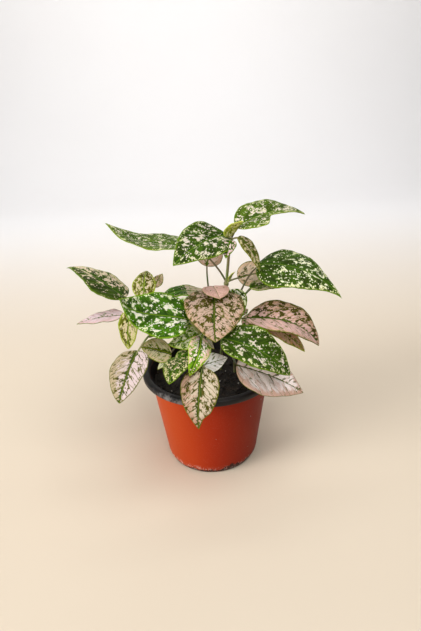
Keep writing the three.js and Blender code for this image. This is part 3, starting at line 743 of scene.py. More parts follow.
ROUNDING_AT_BASE = 0.5
EDGE_CURL = 0.1
CREASE_ROUNDING = 0.04
MARGIN_WAVE = 0.02
WAVES = 2.5
NOTCH = 0.006
FLUTTER = 0.004
PINCH_REACH = 0.07
PHASE_STEP = 2.4
VEIN_SLANT = 0.7  # how far a side vein runs forward for each step sideways
VEIN_CURVE = 0.4
VEIN_WIDTH = 0.28  # share of the way between two veins
GROOVE_WIDTH = 0.7
FULL_RELIEF_LENGTH = 45.0  # shorter blades are flatter
RIDGE_HEIGHT = 0.45
RIDGE_WIDTH = 0.6
EDGE_THICKNESS = 0.12
EDGE_THINNING = 0.6
BROAD = 15.0  # blades narrower than this have fewer faces


def unit(v):
    return v / np.linalg.norm(v, axis=-1, keepdims=True)


def smooth(x, low, high):
    s = np.clip((x - low) / (high - low), 0, 1)
    return s * s * (3 - 2 * s)


def hump(x, width):
    return np.exp(-((x / width) ** 2))


def outline(t, row):
    """Half the width of a blade at t."""
    taper = row["taper"]
    widest = ROUNDING_AT_BASE / (ROUNDING_AT_BASE + taper)
    peak = widest**ROUNDING_AT_BASE * (1 - widest) ** taper
    return row["width"] / 2 * t**ROUNDING_AT_BASE * (1 - t) ** taper / peak


class Blade:
    """The middle surface of one leaf's blade, in millimetres."""

    def __init__(self, row, index):
        self.row = row
        self.base, self.tip = np.array(row["base"], float), np.array(row["tip"], float)
        self.length = np.linalg.norm(self.tip - self.base)
        self.along = unit(self.tip - self.base)
        face = unit(UP - self.along * self.along[2])
        roll = math.radians(row["roll"])
        self.face = face * math.cos(roll) + np.cross(self.along, face) * math.sin(roll)
        self.across = np.cross(self.along, self.face)
        self.phase = index * PHASE_STEP
        self.spacing = self.length / row["veins"]

    def midrib(self, t):
        """Points, headings and upward directions at t, one row each."""
        t = np.atleast_1d(t)[:, None]
        arch, flick = self.row["arch"], self.row["flick"]
        bow, late = 4 * t * (1 - t), 6.75 * t * t * (1 - t)
        points = self.base + self.along * self.length * t
        points = points + self.face * (arch * bow + flick * late)
        points = points + self.across * self.row["sway"] * bow
        slope = arch * (4 - 8 * t) + flick * 6.75 * (2 * t - 3 * t * t)
        heading = unit(self.along * self.length + self.face * slope)
        up = unit(self.face - heading * (heading @ self.face)[:, None])
        return points, heading, up

    def half_width(self, t, u):
        """Half the width for each place, without and with the notches at the side veins."""
        pinch, start = self.row["pinch"], self.row["pinch_at"]
        pinched = abs(pinch) * (u * pinch > 0)
        half = outline(t, self.row) * (1 - pinched * smooth(t, start - PINCH_REACH, start + PINCH_REACH))
        notch = NOTCH * np.sin(TURN * self.row["veins"] * t + self.phase) * smooth(t, 0.1, 0.3)
        return half, half * (1 + notch * np.abs(u) ** 6)

    def waves(self, t, u):
        """The wave of the margin and its finer flutter, as shares of half the width."""
        wave = MARGIN_WAVE * u * u * np.sin(TURN * WAVES * t + self.phase + u)
        turns = self.row["veins"] * t + 0.3 * np.sign(u)
        return 2 * (wave + FLUTTER * u**4 * np.sin(TURN * turns + 1.7 * self.phase))

    def swelling(self, leaves_rib_at, from_rib, from_edge, u):
        """How far the blade swells between its veins, and sinks along the midrib."""
        turns = leaves_rib_at / self.spacing + OTHER_SIDE * (u > 0)
        swell = 1 - hump(np.abs(turns - np.floor(turns) - 0.5), VEIN_WIDTH)
        swell = swell * smooth(from_rib, 0.0, 2.2) * smooth(from_edge, 0.0, 2.5)
        return (swell - 0.9 * hump(from_rib, GROOVE_WIDTH)) * min(1.0, self.length / FULL_RELIEF_LENGTH)

    def surface(self, t, u, relief):
        """Points of the blade for rows t and columns u, its upward directions, and pattern places."""
        points, _, up = self.midrib(t)
        t, u = t[:, None], u[None, :]
        half, notched = self.half_width(t, u)
        fold = math.radians(self.row["fold"])
        crease = np.sqrt(u * u + CREASE_ROUNDING**2) - CREASE_ROUNDING
        lift = half * (crease * math.sin(fold) - EDGE_CURL * u * u + self.waves(t, u))
        sideways = notched * u
        from_rib = np.abs(sideways)
        curve = VEIN_CURVE * from_rib / (self.row["width"] / 2)
        leaves_rib_at = t * self.length - from_rib * (VEIN_SLANT + curve)
        from_edge = half * (1 - np.abs(u))
        lift = lift + relief * self.swelling(leaves_rib_at, from_rib, from_edge, u)
        places = points[:, None, :] + self.across * (sideways * math.cos(fold))[..., None]
        places = places + up[:, None, :] * lift[..., None]
        maps = {
            "Blade": np.stack(np.broadcast_arrays(u, t), -1),
            "Veins": np.stack([leaves_rib_at, sideways], -1) / MM_PER_UV,
            "Edge": np.stack(np.broadcast_arrays(from_edge, t * self.length), -1) / MM_PER_UV,
        }
        return places, up[:, None, :], half, from_rib, maps

    def stalk(self, bend, reach_in):
        """The stalk's centre line, from the stem to under the blade."""
        start = np.array(self.row["start"], float)
        (point,), (heading,), (up,) = self.midrib(np.zeros(1))
        reach = np.linalg.norm(start - point)
        end = point + heading * reach_in - up * STALK_UNDER_BLADE
        a, b = start + UP * reach * bend, point - heading * reach * bend
        s = np.linspace(0, 1, 20)[:, None]
        return (1 - s) ** 3 * start + 3 * (1 - s) ** 2 * s * a + 3 * (1 - s) * s * s * b + s**3 * end


def rows_along(count):
    """Places of the rows along a blade, closer together towards its ends."""
    s = np.linspace(0, 1, count)
    return 0.003 + 0.994 * (0.35 * s + 0.65 * (0.5 - 0.5 * np.cos(math.pi * s)))


def border(rows, columns):
    """The vertices round the outside of a grid, in order."""
    around = list(range(columns - 1))
    around += [r * columns + columns - 1 for r in range(rows - 1)]
    around += [(rows - 1) * columns + c for c in range(columns - 1, 0, -1)]
    return around + [r * columns for r in range(rows - 1, 0, -1)]


def bake_page(u, t, shape):
    """Places of the upper and then the lower sheet, side by side on one page."""
    page = np.stack([0.25 + 0.235 * (u * shape).reshape(-1), 0.015 + 0.97 * t.reshape(-1)], -1)
    return np.concatenate([page, page + [0.5, 0.0]])


def make_leaf(node, blade, group, settings, seed):
    """One blade: an upper and a lower sheet with a thin rim."""
    row = blade.row
    name, width = row["name"], row["width"]
    share = (1.0 if width >= BROAD else 0.5) * 1.0
    rows, columns = int(settings.rows * share), int(settings.columns * share) | 1
    t, u = rows_along(rows), np.linspace(-1, 1, columns)
    places, up, half, from_rib, maps = blade.surface(t, u, settings.relief / MM)
    thick = settings.thickness / MM * (1 - EDGE_THINNING * np.abs(u[None, :]) ** 3)
    thick = thick * smooth(half, 0.0, 1.2) + EDGE_THICKNESS
    ridge = RIDGE_HEIGHT * hump(from_rib, RIDGE_WIDTH) * (1 - t[:, None]) * smooth(half, 0.0, 3.0)
    upper = places + up * (thick / 2)[..., None]
    lower = places - up * (thick / 2 + ridge)[..., None]
    count = rows * columns
    faces = grid_faces(rows, columns) + grid_faces(rows, columns, start=count, flip=True)
    rim = border(rows, columns)
    sides = np.repeat([0, 1], len(faces) // 2).tolist() + [0] * len(rim)
    faces += [[a, a + count, b + count, b] for a, b in zip(rim, rim[1:] + rim[:1])]
    materials = [
        leaf_material(f"{name}_upper", group, row, seed, blade.spacing, 0.0),
        leaf_material(f"{name}_under", group, row, seed, blade.spacing, 1.0),
    ]
    vertices = np.concatenate([upper.reshape(-1, 3), lower.reshape(-1, 3)])
    piece = make_object(name, vertices, faces, materials, groups=sides)
    across, along = maps["Blade"][..., 0], maps["Blade"][..., 1]
    add_uv(piece.data, "OFBake", bake_page(across, along, half / (width / 2)))
    for key, values in maps.items():
        add_uv(piece.data, key, np.tile(values.reshape(-1, 2), (2, 1)))
    seat(piece, "foliage", node)


# Stems and stalks

STEM_STEPS = 14  # between two of its points
STEM_TAPER = 0.8
STEM_SQUARENESS = 0.05
SHOOT_STEPS = 12
SHOOT_TAPER = 0.85
END_BULGE = 0.4
STALK_BEND = 0.15
STALK_IN_BLADE = 4.0
STALK_UNDER_BLADE = 0.3
STALK_SIDES = 10
STALK_TAPER = ((0, 0.1, 0.8, 1), (1.25, 1, 0.85, 0.3))  # places along a stalk, and how thick it is there
KNOT_SWELL = 0.28
KNOT_LENGTH = 1.8
STEM_PALENESS = (0.1, 0.45)  # at the foot and at the end
HAIR_PALENESS = 0.8
HAIR_LENGTHS = (0.4, 0.8)
HAIR_WIDTH = 0.035


def catmull_rom(points, steps):
    """A smooth line through points, with the same centripetal spacing as in the solids."""
    points = [np.array(p, float) for p in points]
    points = [2 * points[0] - points[1], *points, 2 * points[-1] - points[-2]]
    line = []
    for a, b, c, d in zip(points, points[1:], points[2:], points[3:]):
        u, v, w = (np.linalg.norm(q - p) ** 0.5 for p, q in ((a, b), (b, c), (c, d)))
        first = ((b - a) / u - (c - a) / (u + v) + (c - b) / v) * v
        last = ((c - b) / v - (d - b) / (v + w) + (d - c) / w) * v
        for s in np.linspace(0, 1, steps, endpoint=False):
            line.append(b + first * s + (3 * (c - b) - 2 * first - last) * s**2
                        + (2 * (b - c) + first + last) * s**3)
    return np.array([*line, points[-2]])


def tube(line, radii, sides, squareness=0.0):
    """Vertices and faces of a round or slightly square tube with rounded ends."""
    line = np.asarray(line, float)
    heads = unit(np.gradient(line, axis=0))
    side = unit(np.cross(heads[0], [0.3, 0.9, 0.1]))
    rings = []
    turn = np.linspace(0, TURN, sides, endpoint=False)
    for point, head, radius in zip(line, heads, radii):
        side = unit(side - head * (side @ head))
        other = np.cross(head, side)
        reach = radius * (1 + squareness * np.cos(4 * turn))
        ring = point + reach[:, None] * (np.cos(turn)[:, None] * side + np.sin(turn)[:, None] * other)
        rings.append(ring)
    first, last = len(rings) * sides, len(rings) * sides + 1
    ends = [line[0] - heads[0] * radii[0] * END_BULGE, line[-1] + heads[-1] * radii[-1] * END_BULGE]
    faces = grid_faces(len(rings), sides, around=True)
    faces += [[first, (i + 1) % sides, i] for i in range(sides)]
    top = (len(rings) - 1) * sides
    faces += [[last, top + i, top + (i + 1) % sides] for i in range(sides)]
    return [*np.concatenate(rings), *ends], faces


def hair(root, out, length, width):
    """A three-sided spike."""
    side = unit(np.cross(out, [0.2, 0.5, 0.8]))
    other = np.cross(out, side)
    feet = [root + width * (math.cos(a) * side + math.sin(a) * other) for a in (0, 2.1, 4.2)]
    return [*feet, root + out * length], [[0, 1, 3], [1, 2, 3], [2, 0, 3]]


def stem_material():
    t = Paint("stem_skin")
    where = t.where()
    pale = t.value("Attribute", output="Fac", attribute_name="paleness")
    tone = t.step(t.noise(where, 160.0, 3.0), 0.38, 0.62)
    fibre = t.noise(where, 900.0, 2.0)
    dark = t.mix(tone, (0.04, 0.068, 0.012), (0.085, 0.055, 0.02))
    light = t.mix(tone, (0.4, 0.5, 0.14), (0.5, 0.48, 0.22))
    colour = t.brighten(t.mix(pale, dark, light), 0.8 + fibre * 0.45)
    t.relief(fibre, 0.3, 0.0002)
    return t.finish(colour, 0.42 + fibre * 0.2)


def swollen(line, radius, end_share, knots):
    """Radii of a stem that tapers and swells where leaves leave it."""
    radii = radius * np.linspace(1.0, end_share, len(line))
    for knot in knots:
        away = np.linalg.norm(line - np.array(knot, float), axis=1)
        radii = radii + KNOT_SWELL * radius * hump(away, KNOT_LENGTH)
    return radii


def add_hairs(pile, line, radii, count, rng):
    """Short hairs on a stem, above the soil."""
    for _ in range(count):
        i = rng.randrange(1, len(line) - 1)
        point = line[i] + (line[i + 1] - line[i]) * rng.random()
        head = unit(line[i + 1] - line[i])
        out = unit(np.cross(head, [rng.gauss(0, 1) for _ in range(3)]))
        if point[2] > SOIL_TOP + 3:
            root = point + out * radii[i] * 0.9
            spike = hair(root, unit(out + head * 0.5), rng.uniform(*HAIR_LENGTHS), HAIR_WIDTH)
            pile.add(spike, HAIR_PALENESS)


def make_stem(node, blades, settings, material, rng):
    """A stem with its shoots, its leaf stalks and short hairs, as one piece."""
    pile = Pile()
    stem = STEMS[node]
    x, y = stem["foot"]
    buried = [(x, y, SOIL_TOP - SOIL_DEPTH_OF_STEM), (x, y, SOIL_TOP - 4), (x, y, SOIL_TOP + 3)]
    knots = [blade.row["start"] for blade in blades]
    lines = [(catmull_rom([*buried, *stem["points"]], STEM_STEPS), settings.stem_radius, STEM_TAPER)]
    for shoot in stem["shoots"]:
        lines.append((catmull_rom(shoot, SHOOT_STEPS), settings.shoot_radius, SHOOT_TAPER))
    for line, radius, end_share in lines:
        radii = swollen(line, radius / MM, end_share, knots)
        paleness = np.repeat(np.linspace(*STEM_PALENESS, len(line)), settings.sides)
        pile.add(tube(line, radii, settings.sides, STEM_SQUARENESS), [*paleness, *STEM_PALENESS])
        add_hairs(pile, line, radii, settings.hairs // len(lines), rng)
    for blade in blades:
        line = blade.stalk(STALK_BEND, STALK_IN_BLADE)
        radii = settings.stalk_radius / MM * np.interp(np.linspace(0, 1, len(line)), *STALK_TAPER)
        pile.add(tube(line, radii, STALK_SIDES), blade.row["pale"])
    piece = pile.piece(f"{node}_stalks", material)
    layer = piece.data.attributes.new("paleness", "FLOAT", "POINT")
    layer.data.foreach_set("value", pile.values)
    seat(piece, "foliage", node)


# Soil

SOIL_GAP = 0.25  # between the soil and the pot's wall
SOIL_GRID = (70, 200)  # rings and sides of its surface
LARGEST_CRUMB = 2.0
UNEVENNESS = (0.78, 1.18)  # of a lump's corners
CROWN_RADIUS = 44  # where the crowned soil is down to SOIL_TOP


def soil_material():
    t = Paint("potting_soil")
    where = t.where()
    fine = t.noise(where, 700.0, 6.0, 0.7)
    patch = t.noise(where, 70.0, 3.0)
    colour = t.mix(t.step(fine, 0.35, 0.7), (0.006, 0.005, 0.0045), (0.035, 0.024, 0.017))
    colour = t.mix(t.step(patch, 0.5, 0.75) * 0.5, colour, (0.05, 0.032, 0.02))
    t.relief(fine, 0.8, 0.0006)
    return t.finish(colour, 0.7 + fine * 0.25)


def perlite_material():
    t = Paint("perlite")
    pits = t.noise(t.where(), 1500.0, 4.0, 0.6)
    t.relief(pits, 0.6, 0.0003)
    return t.finish(t.mix(t.step(pits, 0.35, 0.65), (0.2, 0.18, 0.155), (0.46, 0.44, 0.41)), 0.85)


def lump(centre, size, rng, detail=1):
    """A rough stone-like lump: a ball of few faces with uneven corners."""
    rings, sides = 3 + detail, 5 + 2 * detail
    squash = np.array([rng.uniform(0.7, 1.3), rng.uniform(0.7, 1.3), rng.uniform(0.5, 0.9)])
    turn = rng.uniform(0, math.pi)
    pole = np.array([0, 0, size * squash[2]])
    vertices = [centre - pole]
    for r in range(1, rings):
        level = math.pi * r / rings
        for i in range(sides):
            a = TURN * i / sides + turn
            reach = size * rng.uniform(*UNEVENNESS)
            out = [math.sin(level) * math.cos(a), math.sin(level) * math.sin(a), -math.cos(level)]
            vertices.append(centre + np.array(out) * reach * squash)
    vertices.append(centre + pole)
    faces = [[0, 1 + (i + 1) % sides, 1 + i] for i in range(sides)]
    faces += grid_faces(rings - 1, sides, start=1, around=True)
    top = len(vertices) - 1
    faces += [[top, top - sides + i, top - sides + (i + 1) % sides] for i in range(sides)]
    return vertices, faces


def wall_radius(z):
    rise = (z - FOOT_HEIGHT) / (POT_HEIGHT - RIM_DROP - FOOT_HEIGHT)
    return LOW_RADIUS + (TOP_RADIUS - LOW_RADIUS) * rise


def soil_height(x, y, lumpiness):
    """Height of the soil's surface, in millimetres."""
    place = Vector((x, y, 0))
    rough = noise.fractal(place * 0.09, 1.0, 2.1, 5) + 0.35 * noise.noise(place * 0.7)
    away = math.hypot(x, y) / CROWN_RADIUS
    return SOIL_TOP + SOIL_CROWN * (1 - away * away) + lumpiness * rough


def ring_of(reach, sides, height):
    """Vertices round a circle; height gives z at (x, y)."""
    turns = [TURN * i / sides for i in range(sides)]
    places = [(reach * math.cos(a), reach * math.sin(a)) for a in turns]
    return [np.array([x, y, height(x, y)]) for x, y in places]


def soil_body(inner, height):
    """The lumpy surface of the soil, down to the pot's floor."""
    rings, sides = SOIL_GRID
    vertices = [np.array([0, 0, height(0, 0)])]
    for r in range(1, rings + 1):
        vertices += ring_of(inner * r / rings, sides, height)
    faces = [[0, 1 + i, 1 + (i + 1) % sides] for i in range(sides)]
    faces += grid_faces(rings, sides, start=1, around=True, flip=True)
    start = len(vertices)
    vertices += ring_of(LOW_RADIUS - POT_WALL - 0.4, sides, lambda x, y: FOOT_HEIGHT)
    vertices += ring_of(FOOT_RADIUS - POT_WALL - 1, sides, lambda x, y: POT_WALL + CHANNEL_LIFT + 0.3)
    faces += grid_faces(3, sides, start=start - sides, around=True, flip=True)
    faces.append([start + sides + i for i in reversed(range(sides))])
    return vertices, faces


def strew(pile, count, draw_size, height, rng, spread, raised, detail):
    """Lumps of drawn sizes on the soil, raised by a share of their size."""
    for _ in range(count):
        a, reach = rng.uniform(0, TURN), spread * math.sqrt(rng.random())
        size = draw_size()
        x, y = reach * math.cos(a), reach * math.sin(a)
        centre = np.array([x, y, height(x, y) + size * raised])
        pile.add(lump(centre, size, rng, detail))


def make_soil(settings):
    rng = random.Random(11)
    inner = wall_radius(SOIL_TOP) - POT_WALL - SOIL_GAP

    def height(x, y):
        return soil_height(x, y, settings.lump / MM)

    def crumb():
        return min(LARGEST_CRUMB, rng.lognormvariate(-0.45, 0.5))

    def grain():
        return rng.uniform(0.35, 0.95)

    soil, grains = Pile(), Pile()
    soil.add(soil_body(inner, height))
    strew(soil, settings.crumbs, crumb, height, rng, spread=inner - 1.6, raised=0.25, detail=1)
    seat(soil.piece("soil_surface", soil_material()), "soil", "soil")
    strew(grains, settings.perlite, grain, height, rng, spread=inner - 2.5, raised=0.5, detail=2)
    seat(grains.piece("perlite_grains", perlite_material()), "soil")


# Pot

DUST = (0.42, 0.25, 0.18)
WET_SOIL = (0.022, 0.014, 0.01)
FLECKS = (0.8, 0.68, 0.58)
WATER_MARKS = (0.8, 0.62, 0.54)
# Grey on the front left of the rim: partly lime from dried water, partly a painted highlight of the window
RIM_LIME_AND_SHEEN = (0.42, 0.4, 0.4)
LIME_AND_SHEEN_SIDE = (0.57, 0.82)  # the way from the part of the rim with lime and painted highlight to the pot's middle
GRAINS_ON_POT = 46
SHARP_EDGE = math.radians(50)


def pot_profile():
    """Outline of the pot's section, and where its inner layer starts to show."""
    skirt_bottom = POT_HEIGHT - RIM_DROP
    under_rim = POT_HEIGHT - SKIRT_WALL
    in_skirt = RIM_RADIUS - SKIRT_WALL
    outside = [
        (0, 0), (FLOOR_MIDDLE_RADIUS, 0), (CHANNEL_INNER, CHANNEL_LIFT), (CHANNEL_OUTER, CHANNEL_LIFT),
        (STANDING_RING_INNER, 0), (FOOT_RADIUS, 0), (FOOT_RADIUS + 1.2, 0.55),
        (FOOT_RADIUS + 2, FOOT_HEIGHT * 0.25), (LOW_RADIUS - 0.75, FOOT_HEIGHT * 0.45),
        (LOW_RADIUS - 0.3, FOOT_HEIGHT * 0.68), (LOW_RADIUS, FOOT_HEIGHT),
    ]
    outside += [(wall_radius(z), z) for z in np.linspace(FOOT_HEIGHT, skirt_bottom, 12)[1:]]
    outside += [
        (TOP_RADIUS + 0.25, under_rim - 0.6), (TOP_RADIUS + 0.9, under_rim),
        (in_skirt - 0.5, under_rim), (in_skirt, under_rim - 0.5), (in_skirt, skirt_bottom + 0.2),
    ]
    inside = [
        (in_skirt + 0.2, skirt_bottom), (RIM_RADIUS - 0.4, skirt_bottom),
        (RIM_RADIUS - 0.15, skirt_bottom + 0.3), (RIM_RADIUS - 0.05, POT_HEIGHT - 1.6),
        (RIM_RADIUS - 0.3, POT_HEIGHT - 0.7), (RIM_RADIUS - 0.9, POT_HEIGHT - 0.15),
        (RIM_RADIUS - 1.6, POT_HEIGHT), (RIM_INNER_RADIUS + 0.5, POT_HEIGHT),
        (RIM_INNER_RADIUS - 0.4, POT_HEIGHT - 0.3), (RIM_INNER_RADIUS - 1.2, POT_HEIGHT - 1.0),
        (RIM_INNER_RADIUS - 2.0, POT_HEIGHT - 2.4), (TOP_RADIUS - POT_WALL, skirt_bottom - 2),
        (wall_radius(55) - POT_WALL, 55), (LOW_RADIUS - POT_WALL, FOOT_HEIGHT),
        (FOOT_RADIUS - POT_WALL * 0.6, POT_WALL), (STANDING_RING_INNER, POT_WALL),
        (CHANNEL_OUTER, CHANNEL_LIFT + POT_WALL), (CHANNEL_INNER, CHANNEL_LIFT + POT_WALL),
        (FLOOR_MIDDLE_RADIUS, POT_WALL), (0, POT_WALL),
    ]
    return outside + inside, len(outside) - 1


def clay_material(settings):
    """Orange plastic: scuffed, with painted light on the window side and painted shade on the far side, and
    dusty, soiled and with white water marks at the foot.
    """
    t = Paint("orange_plastic")
    where = t.where()
    x, y, z = t.split("XYZ", where)
    streaks = t.noise(t.vector(x * 4.0, y * 4.0, z), 45.0, 4.0, 0.6)
    cloud = t.noise(where, 28.0, 3.0)
    colour = t.mix(t.step(cloud, 0.35, 0.7) * 0.4, tuple(settings.clay), (0.45, 0.04, 0.01))
    colour = t.mix(t.step(streaks, 0.55, 0.8) * 0.1, colour, (0.5, 0.1, 0.04))
    # Painted light: the side towards the window is lighter and yellower orange
    lit_side = t.step(x + cloud * 0.02, 0.02, -0.04)
    colour = t.mix(lit_side * 0.45, colour, (0.62, 0.12, 0.014))
    # Painted shade: darker on the side away from the window, a little brighter on the window side
    colour = t.brighten(colour, 0.56 + t.step(x, 0.034, -0.018) * 0.46)
    foot = t.fade(z + cloud * 0.008, 0.004, 0.013)
    dust = foot * t.step(t.noise(where, 260.0, 5.0, 0.7), 0.46, 0.6)
    colour = t.mix(dust * 0.3, colour, DUST)
    # Soil has crept up from the edge that it stands on
    crept = t.noise(t.vector(x, y, 0.0), 75.0, 4.0, 0.7) * 0.019 - 0.0047 + lit_side * -0.0035
    soil = t.fade(z - crept, -0.0006, 0.0006) * t.step(t.noise(where, 520.0, 5.0, 0.75), 0.36, 0.46)
    colour = t.mix(soil * 0.92, colour, WET_SOIL)
    flecks = t.step(t.noise(where, 1300.0, 3.0), 0.6, 0.66) * (0.03 + foot)
    colour = t.mix(flecks * 0.85, colour, FLECKS)
    # White water marks where it stood wet, most of them on the window side
    dried = t.step(t.noise(where, 330.0, 5.0, 0.75), 0.54, 0.61) * t.fade(z, 0.0045, 0.009)
    colour = t.mix(dried * (0.2 + lit_side * 0.75), colour, WATER_MARKS)
    t.relief(t.noise(where, 420.0, 3.0), 0.08, 0.0003)
    return t.finish(colour, 0.36 + streaks * 0.14 + dust * 0.3, specular=0.07)


def lip_material(settings):
    """Black plastic, with grey wear, and dried water marks on the front left of the rim that are also a
    painted highlight.
    """
    t = Paint("black_plastic")
    where = t.where()
    x, y, z = t.split("XYZ", where)
    cloud = t.noise(where, 60.0, 4.0, 0.6)
    wear = t.noise(where, 380.0, 5.0, 0.7)
    colour = t.mix(t.step(cloud, 0.35, 0.7), tuple(settings.lip), (0.015, 0.0105, 0.0095))
    colour = t.mix(t.step(wear, 0.6, 0.76) * 0.2, colour, (0.12, 0.11, 0.105))
    # Lime left by dried water on the front left of the rim, which is also a painted highlight of the window
    # there
    lime_and_sheen = t.step(x * -LIME_AND_SHEEN_SIDE[0] + y * -LIME_AND_SHEEN_SIDE[1], 0.0478, 0.0525) * t.step(z, 0.0725, 0.0745)
    lime_and_sheen = lime_and_sheen * t.step(t.noise(where, 130.0, 5.0, 0.7), 0.44, 0.68)
    colour = t.mix(lime_and_sheen * 0.55, colour, RIM_LIME_AND_SHEEN)
    t.relief(wear, 0.12, 0.0003)
    return t.finish(colour, 0.34 + cloud * 0.25 + lime_and_sheen * 0.3, specular=0.25)


def pot_side(z):
    """Radius of the pot's outside, from its rounded foot up."""
    if z < FOOT_HEIGHT:
        return np.interp(z, [0, 2.25, 5.4, FOOT_HEIGHT], [FOOT_RADIUS, 35.5, 36.8, LOW_RADIUS])
    return wall_radius(z)


def make_pot(settings):
    profile, seam = pot_profile()
    sides = settings.sides
    turn = np.linspace(0, TURN, sides, endpoint=False)
    rings = [[(r * math.cos(a), r * math.sin(a), z) for a in turn] for r, z in profile[1:-1]]
    vertices = [p for ring in rings for p in ring] + [(0, 0, 0), (0, 0, POT_WALL)]
    faces = grid_faces(len(rings), sides, around=True)
    layers = [int(i // sides >= seam - 1) for i in range(len(faces))]
    low, high = len(vertices) - 2, len(vertices) - 1
    faces += [[low, (i + 1) % sides, i] for i in range(sides)]
    last = (len(rings) - 1) * sides
    faces += [[high, last + i, last + (i + 1) % sides] for i in range(sides)]
    layers += [0] * sides + [1] * sides
    materials = [clay_material(settings), lip_material(settings)]
    shell = make_object("pot_shell", vertices, faces, materials, groups=layers)
    shell.data.set_sharp_from_angle(angle=SHARP_EDGE)
    seat(shell, "pot_plastic", "pot")
    rng = random.Random(5)
    grains = Pile()
    for _ in range(GRAINS_ON_POT):
        a = rng.uniform(-math.pi, math.pi)
        z = rng.uniform(0.6, 3.2) if rng.random() < 0.8 else rng.uniform(4, 70)
        size = rng.uniform(0.2, 0.5)
        reach = pot_side(z)
        grains.add(lump(np.array([reach * math.cos(a), reach * math.sin(a), z + size]), size, rng))
    seat(grains.piece("pot_grit", perlite_material()), "pot_plastic")


# Stage

CAMERA_PLACE = (0.0, -0.342, 0.275)
FOCAL_PIXELS = 500
FRAME_HEIGHT = 631
FILM = 36.0
FLOOR_FRONT, FLOOR_BACK, FLOOR_SIDE = -2.5, 1.0, 4.0
FLOOR_BEND, WALL_TOP = 0.7, 3.0
MIDDLE = (0, 0, 0.1)

# Name, place, what it points at, size, share of the daylight, and colour
LIGHTS = (
    ("window", (-1.3, -0.7, 0.8), MIDDLE, 0.9, 0.88, (1.0, 0.98, 0.95)),
    ("ceiling", (0.25, -0.45, 1.4), MIDDLE, 1.2, 0.62, (1.0, 0.99, 0.97)),
    ("room", (0.15, -0.95, 0.85), MIDDLE, 0.7, 0.1, (1.0, 0.98, 0.96)),
    ("wall_light", (0.0, 0.5, 1.3), (0, 1.7, 0.5), 1.0, 0.42, (1.0, 0.99, 1.0)),
)


def backdrop():
    """A pale floor that turns up into a pale wall far behind."""
    profile = [(FLOOR_FRONT, 0.0), (FLOOR_BACK, 0.0)]
    for i in range(1, 13):
        a = math.pi / 2 * i / 12
        profile.append((FLOOR_BACK + FLOOR_BEND * math.sin(a), FLOOR_BEND - FLOOR_BEND * math.cos(a)))
    profile.append((FLOOR_BACK + FLOOR_BEND, WALL_TOP))
    vertices = [(x, y, z) for y, z in profile for x in (-FLOOR_SIDE, FLOOR_SIDE)]
    faces = [[2 * i, 2 * i + 1, 2 * i + 3, 2 * i + 2] for i in range(len(profile) - 1)]
    t = Paint("pale_floor")
    place = t.where()
    cloud = t.noise(place, 3.0, 3.0)
    near = t.mix(cloud, (0.66, 0.56, 0.44), (0.7, 0.61, 0.49))
    wall = t.mix(cloud, (0.88, 0.87, 0.87), (0.91, 0.905, 0.91))
    far = t.step(t.split("XYZ", place)[1], 0.1, 0.9)
    floor = make_object("floor", np.array(vertices) / MM, faces, [t.finish(t.mix(far, near, wall), 0.75)])


def soft_light(name, place, target, size, watts, colour):
    data = bpy.data.lights.new(name, "AREA")
    data.shape, data.size, data.energy, data.color = "DISK", size, watts, colour
    lamp = bpy.data.objects.new(name, data)
    lamp.location = place
    lamp.rotation_euler = (Vector(target) - Vector(place)).to_track_quat("-Z", "Y").to_euler()
    bpy.context.scene.collection.objects.link(lamp)


def make_camera(settings):
    pitch, yaw, roll = settings.tilt, settings.turn, settings.roll
    forward = Vector((math.sin(yaw) * math.cos(pitch), math.cos(yaw) * math.cos(pitch), -math.sin(pitch)))
    right = Vector((math.cos(yaw), -math.sin(yaw), 0))
    down = forward.cross(right)
    x = right * math.cos(roll) + down * math.sin(roll)
    y = -(down * math.cos(roll) - right * math.sin(roll))
    camera = bpy.data.objects.new("camera", bpy.data.cameras.new("camera"))
    turned = Matrix((x, y, -forward)).transposed().to_4x4()
    camera.matrix_world = Matrix.Translation(CAMERA_PLACE) @ turned
    camera.data.sensor_width = FILM
    camera.data.lens = FOCAL_PIXELS / FRAME_HEIGHT * FILM
    camera.data.clip_start, camera.data.clip_end = 0.01, 20
    bpy.context.scene.collection.objects.link(camera)
    bpy.context.scene.camera = camera


def make_stage(settings):
    backdrop()
    for name, place, target, size, share, colour in LIGHTS:
        soft_light(name, place, target, size, settings.daylight * share, colour)
    world = bpy.data.worlds.new("room")
    world.use_nodes = True
    background = world.node_tree.nodes["Background"]
    background.inputs["Color"].default_value = (1.0, 0.99, 0.985, 1.0)
    background.inputs["Strength"].default_value = settings.fill
    bpy.context.scene.world = world
    bpy.context.scene.view_settings.view_transform = "Standard"
    make_camera(settings)


# Operators and panel

SEED_STEP = 7.3


def blades_of(node):
    """The blades of a stem's leaves, in order."""
    return [Blade(row, index) for index, row in enumerate(LEAVES[node])]


class PLANT_OT_pot(bpy.types.Operator):
    """Adds the pot and the grit on it"""

    bl_idname = "plant.pot"
    bl_label = "Pot"

    def execute(self, context):
        make_pot(context.scene.plant.pot)
        return {"FINISHED"}


class PLANT_OT_soil(bpy.types.Operator):
    """Adds the soil and its perlite"""

    bl_idname = "plant.soil"
    bl_label = "Soil"

    def execute(self, context):
        make_soil(context.scene.plant.soil)
        return {"FINISHED"}


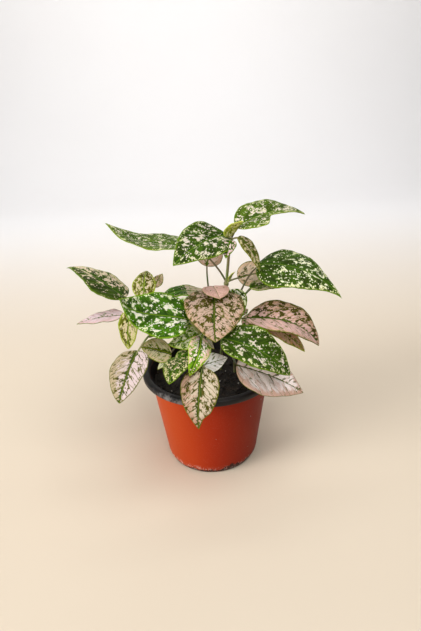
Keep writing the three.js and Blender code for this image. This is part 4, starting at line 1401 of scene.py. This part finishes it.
class PLANT_OT_stems(bpy.types.Operator):
    """Adds the stems with their shoots and leaf stalks"""

    bl_idname = "plant.stems"
    bl_label = "Stems"

    def execute(self, context):
        material = stem_material()
        rng = random.Random(3)
        for node in STEMS:
            make_stem(node, blades_of(node), context.scene.plant.stems, material, rng)
        return {"FINISHED"}


class PLANT_OT_leaves(bpy.types.Operator):
    """Adds the leaf blades"""

    bl_idname = "plant.leaves"
    bl_label = "Leaves"

    def execute(self, context):
        group = leaf_group()
        seed = 0.0
        for node in STEMS:
            for blade in blades_of(node):
                seed += SEED_STEP
                make_leaf(node, blade, group, context.scene.plant.leaves, seed)
        return {"FINISHED"}


class PLANT_OT_stage(bpy.types.Operator):
    """Adds the floor, the light and the camera"""

    bl_idname = "plant.stage"
    bl_label = "Stage"

    def execute(self, context):
        make_stage(context.scene.plant.stage)
        return {"FINISHED"}


class PLANT_PT_panel(bpy.types.Panel):
    """Makes the plant piece by piece"""

    bl_idname = "PLANT_PT_panel"
    bl_label = "Polka dot plant"
    bl_space_type = "VIEW_3D"
    bl_region_type = "UI"
    bl_category = "Plant"

    def draw(self, context):
        for part, group in PANEL_ROWS:
            box = self.layout.box()
            box.operator(f"plant.{part}")
            settings = getattr(context.scene.plant, part)
            for key in group.__annotations__:
                box.prop(settings, key)


PANEL_ROWS = (
    ("pot", PotSettings), ("soil", SoilSettings), ("stems", StemSettings),
    ("leaves", LeafSettings), ("stage", StageSettings),
)
CLASSES = (
    PotSettings, SoilSettings, StemSettings, LeafSettings, StageSettings, PlantSettings,
    PLANT_OT_pot, PLANT_OT_soil, PLANT_OT_stems, PLANT_OT_leaves, PLANT_OT_stage, PLANT_PT_panel,
)


def register():
    for cls in CLASSES:
        bpy.utils.register_class(cls)
    bpy.types.Scene.plant = PointerProperty(type=PlantSettings)


def unregister():
    del bpy.types.Scene.plant
    for cls in reversed(CLASSES):
        bpy.utils.unregister_class(cls)


def main():
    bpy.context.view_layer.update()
    register()
    for make in (
        bpy.ops.plant.pot, bpy.ops.plant.soil, bpy.ops.plant.stems, bpy.ops.plant.leaves,
        bpy.ops.plant.stage,
    ):
        make()


if __name__ == "__main__":
    main()
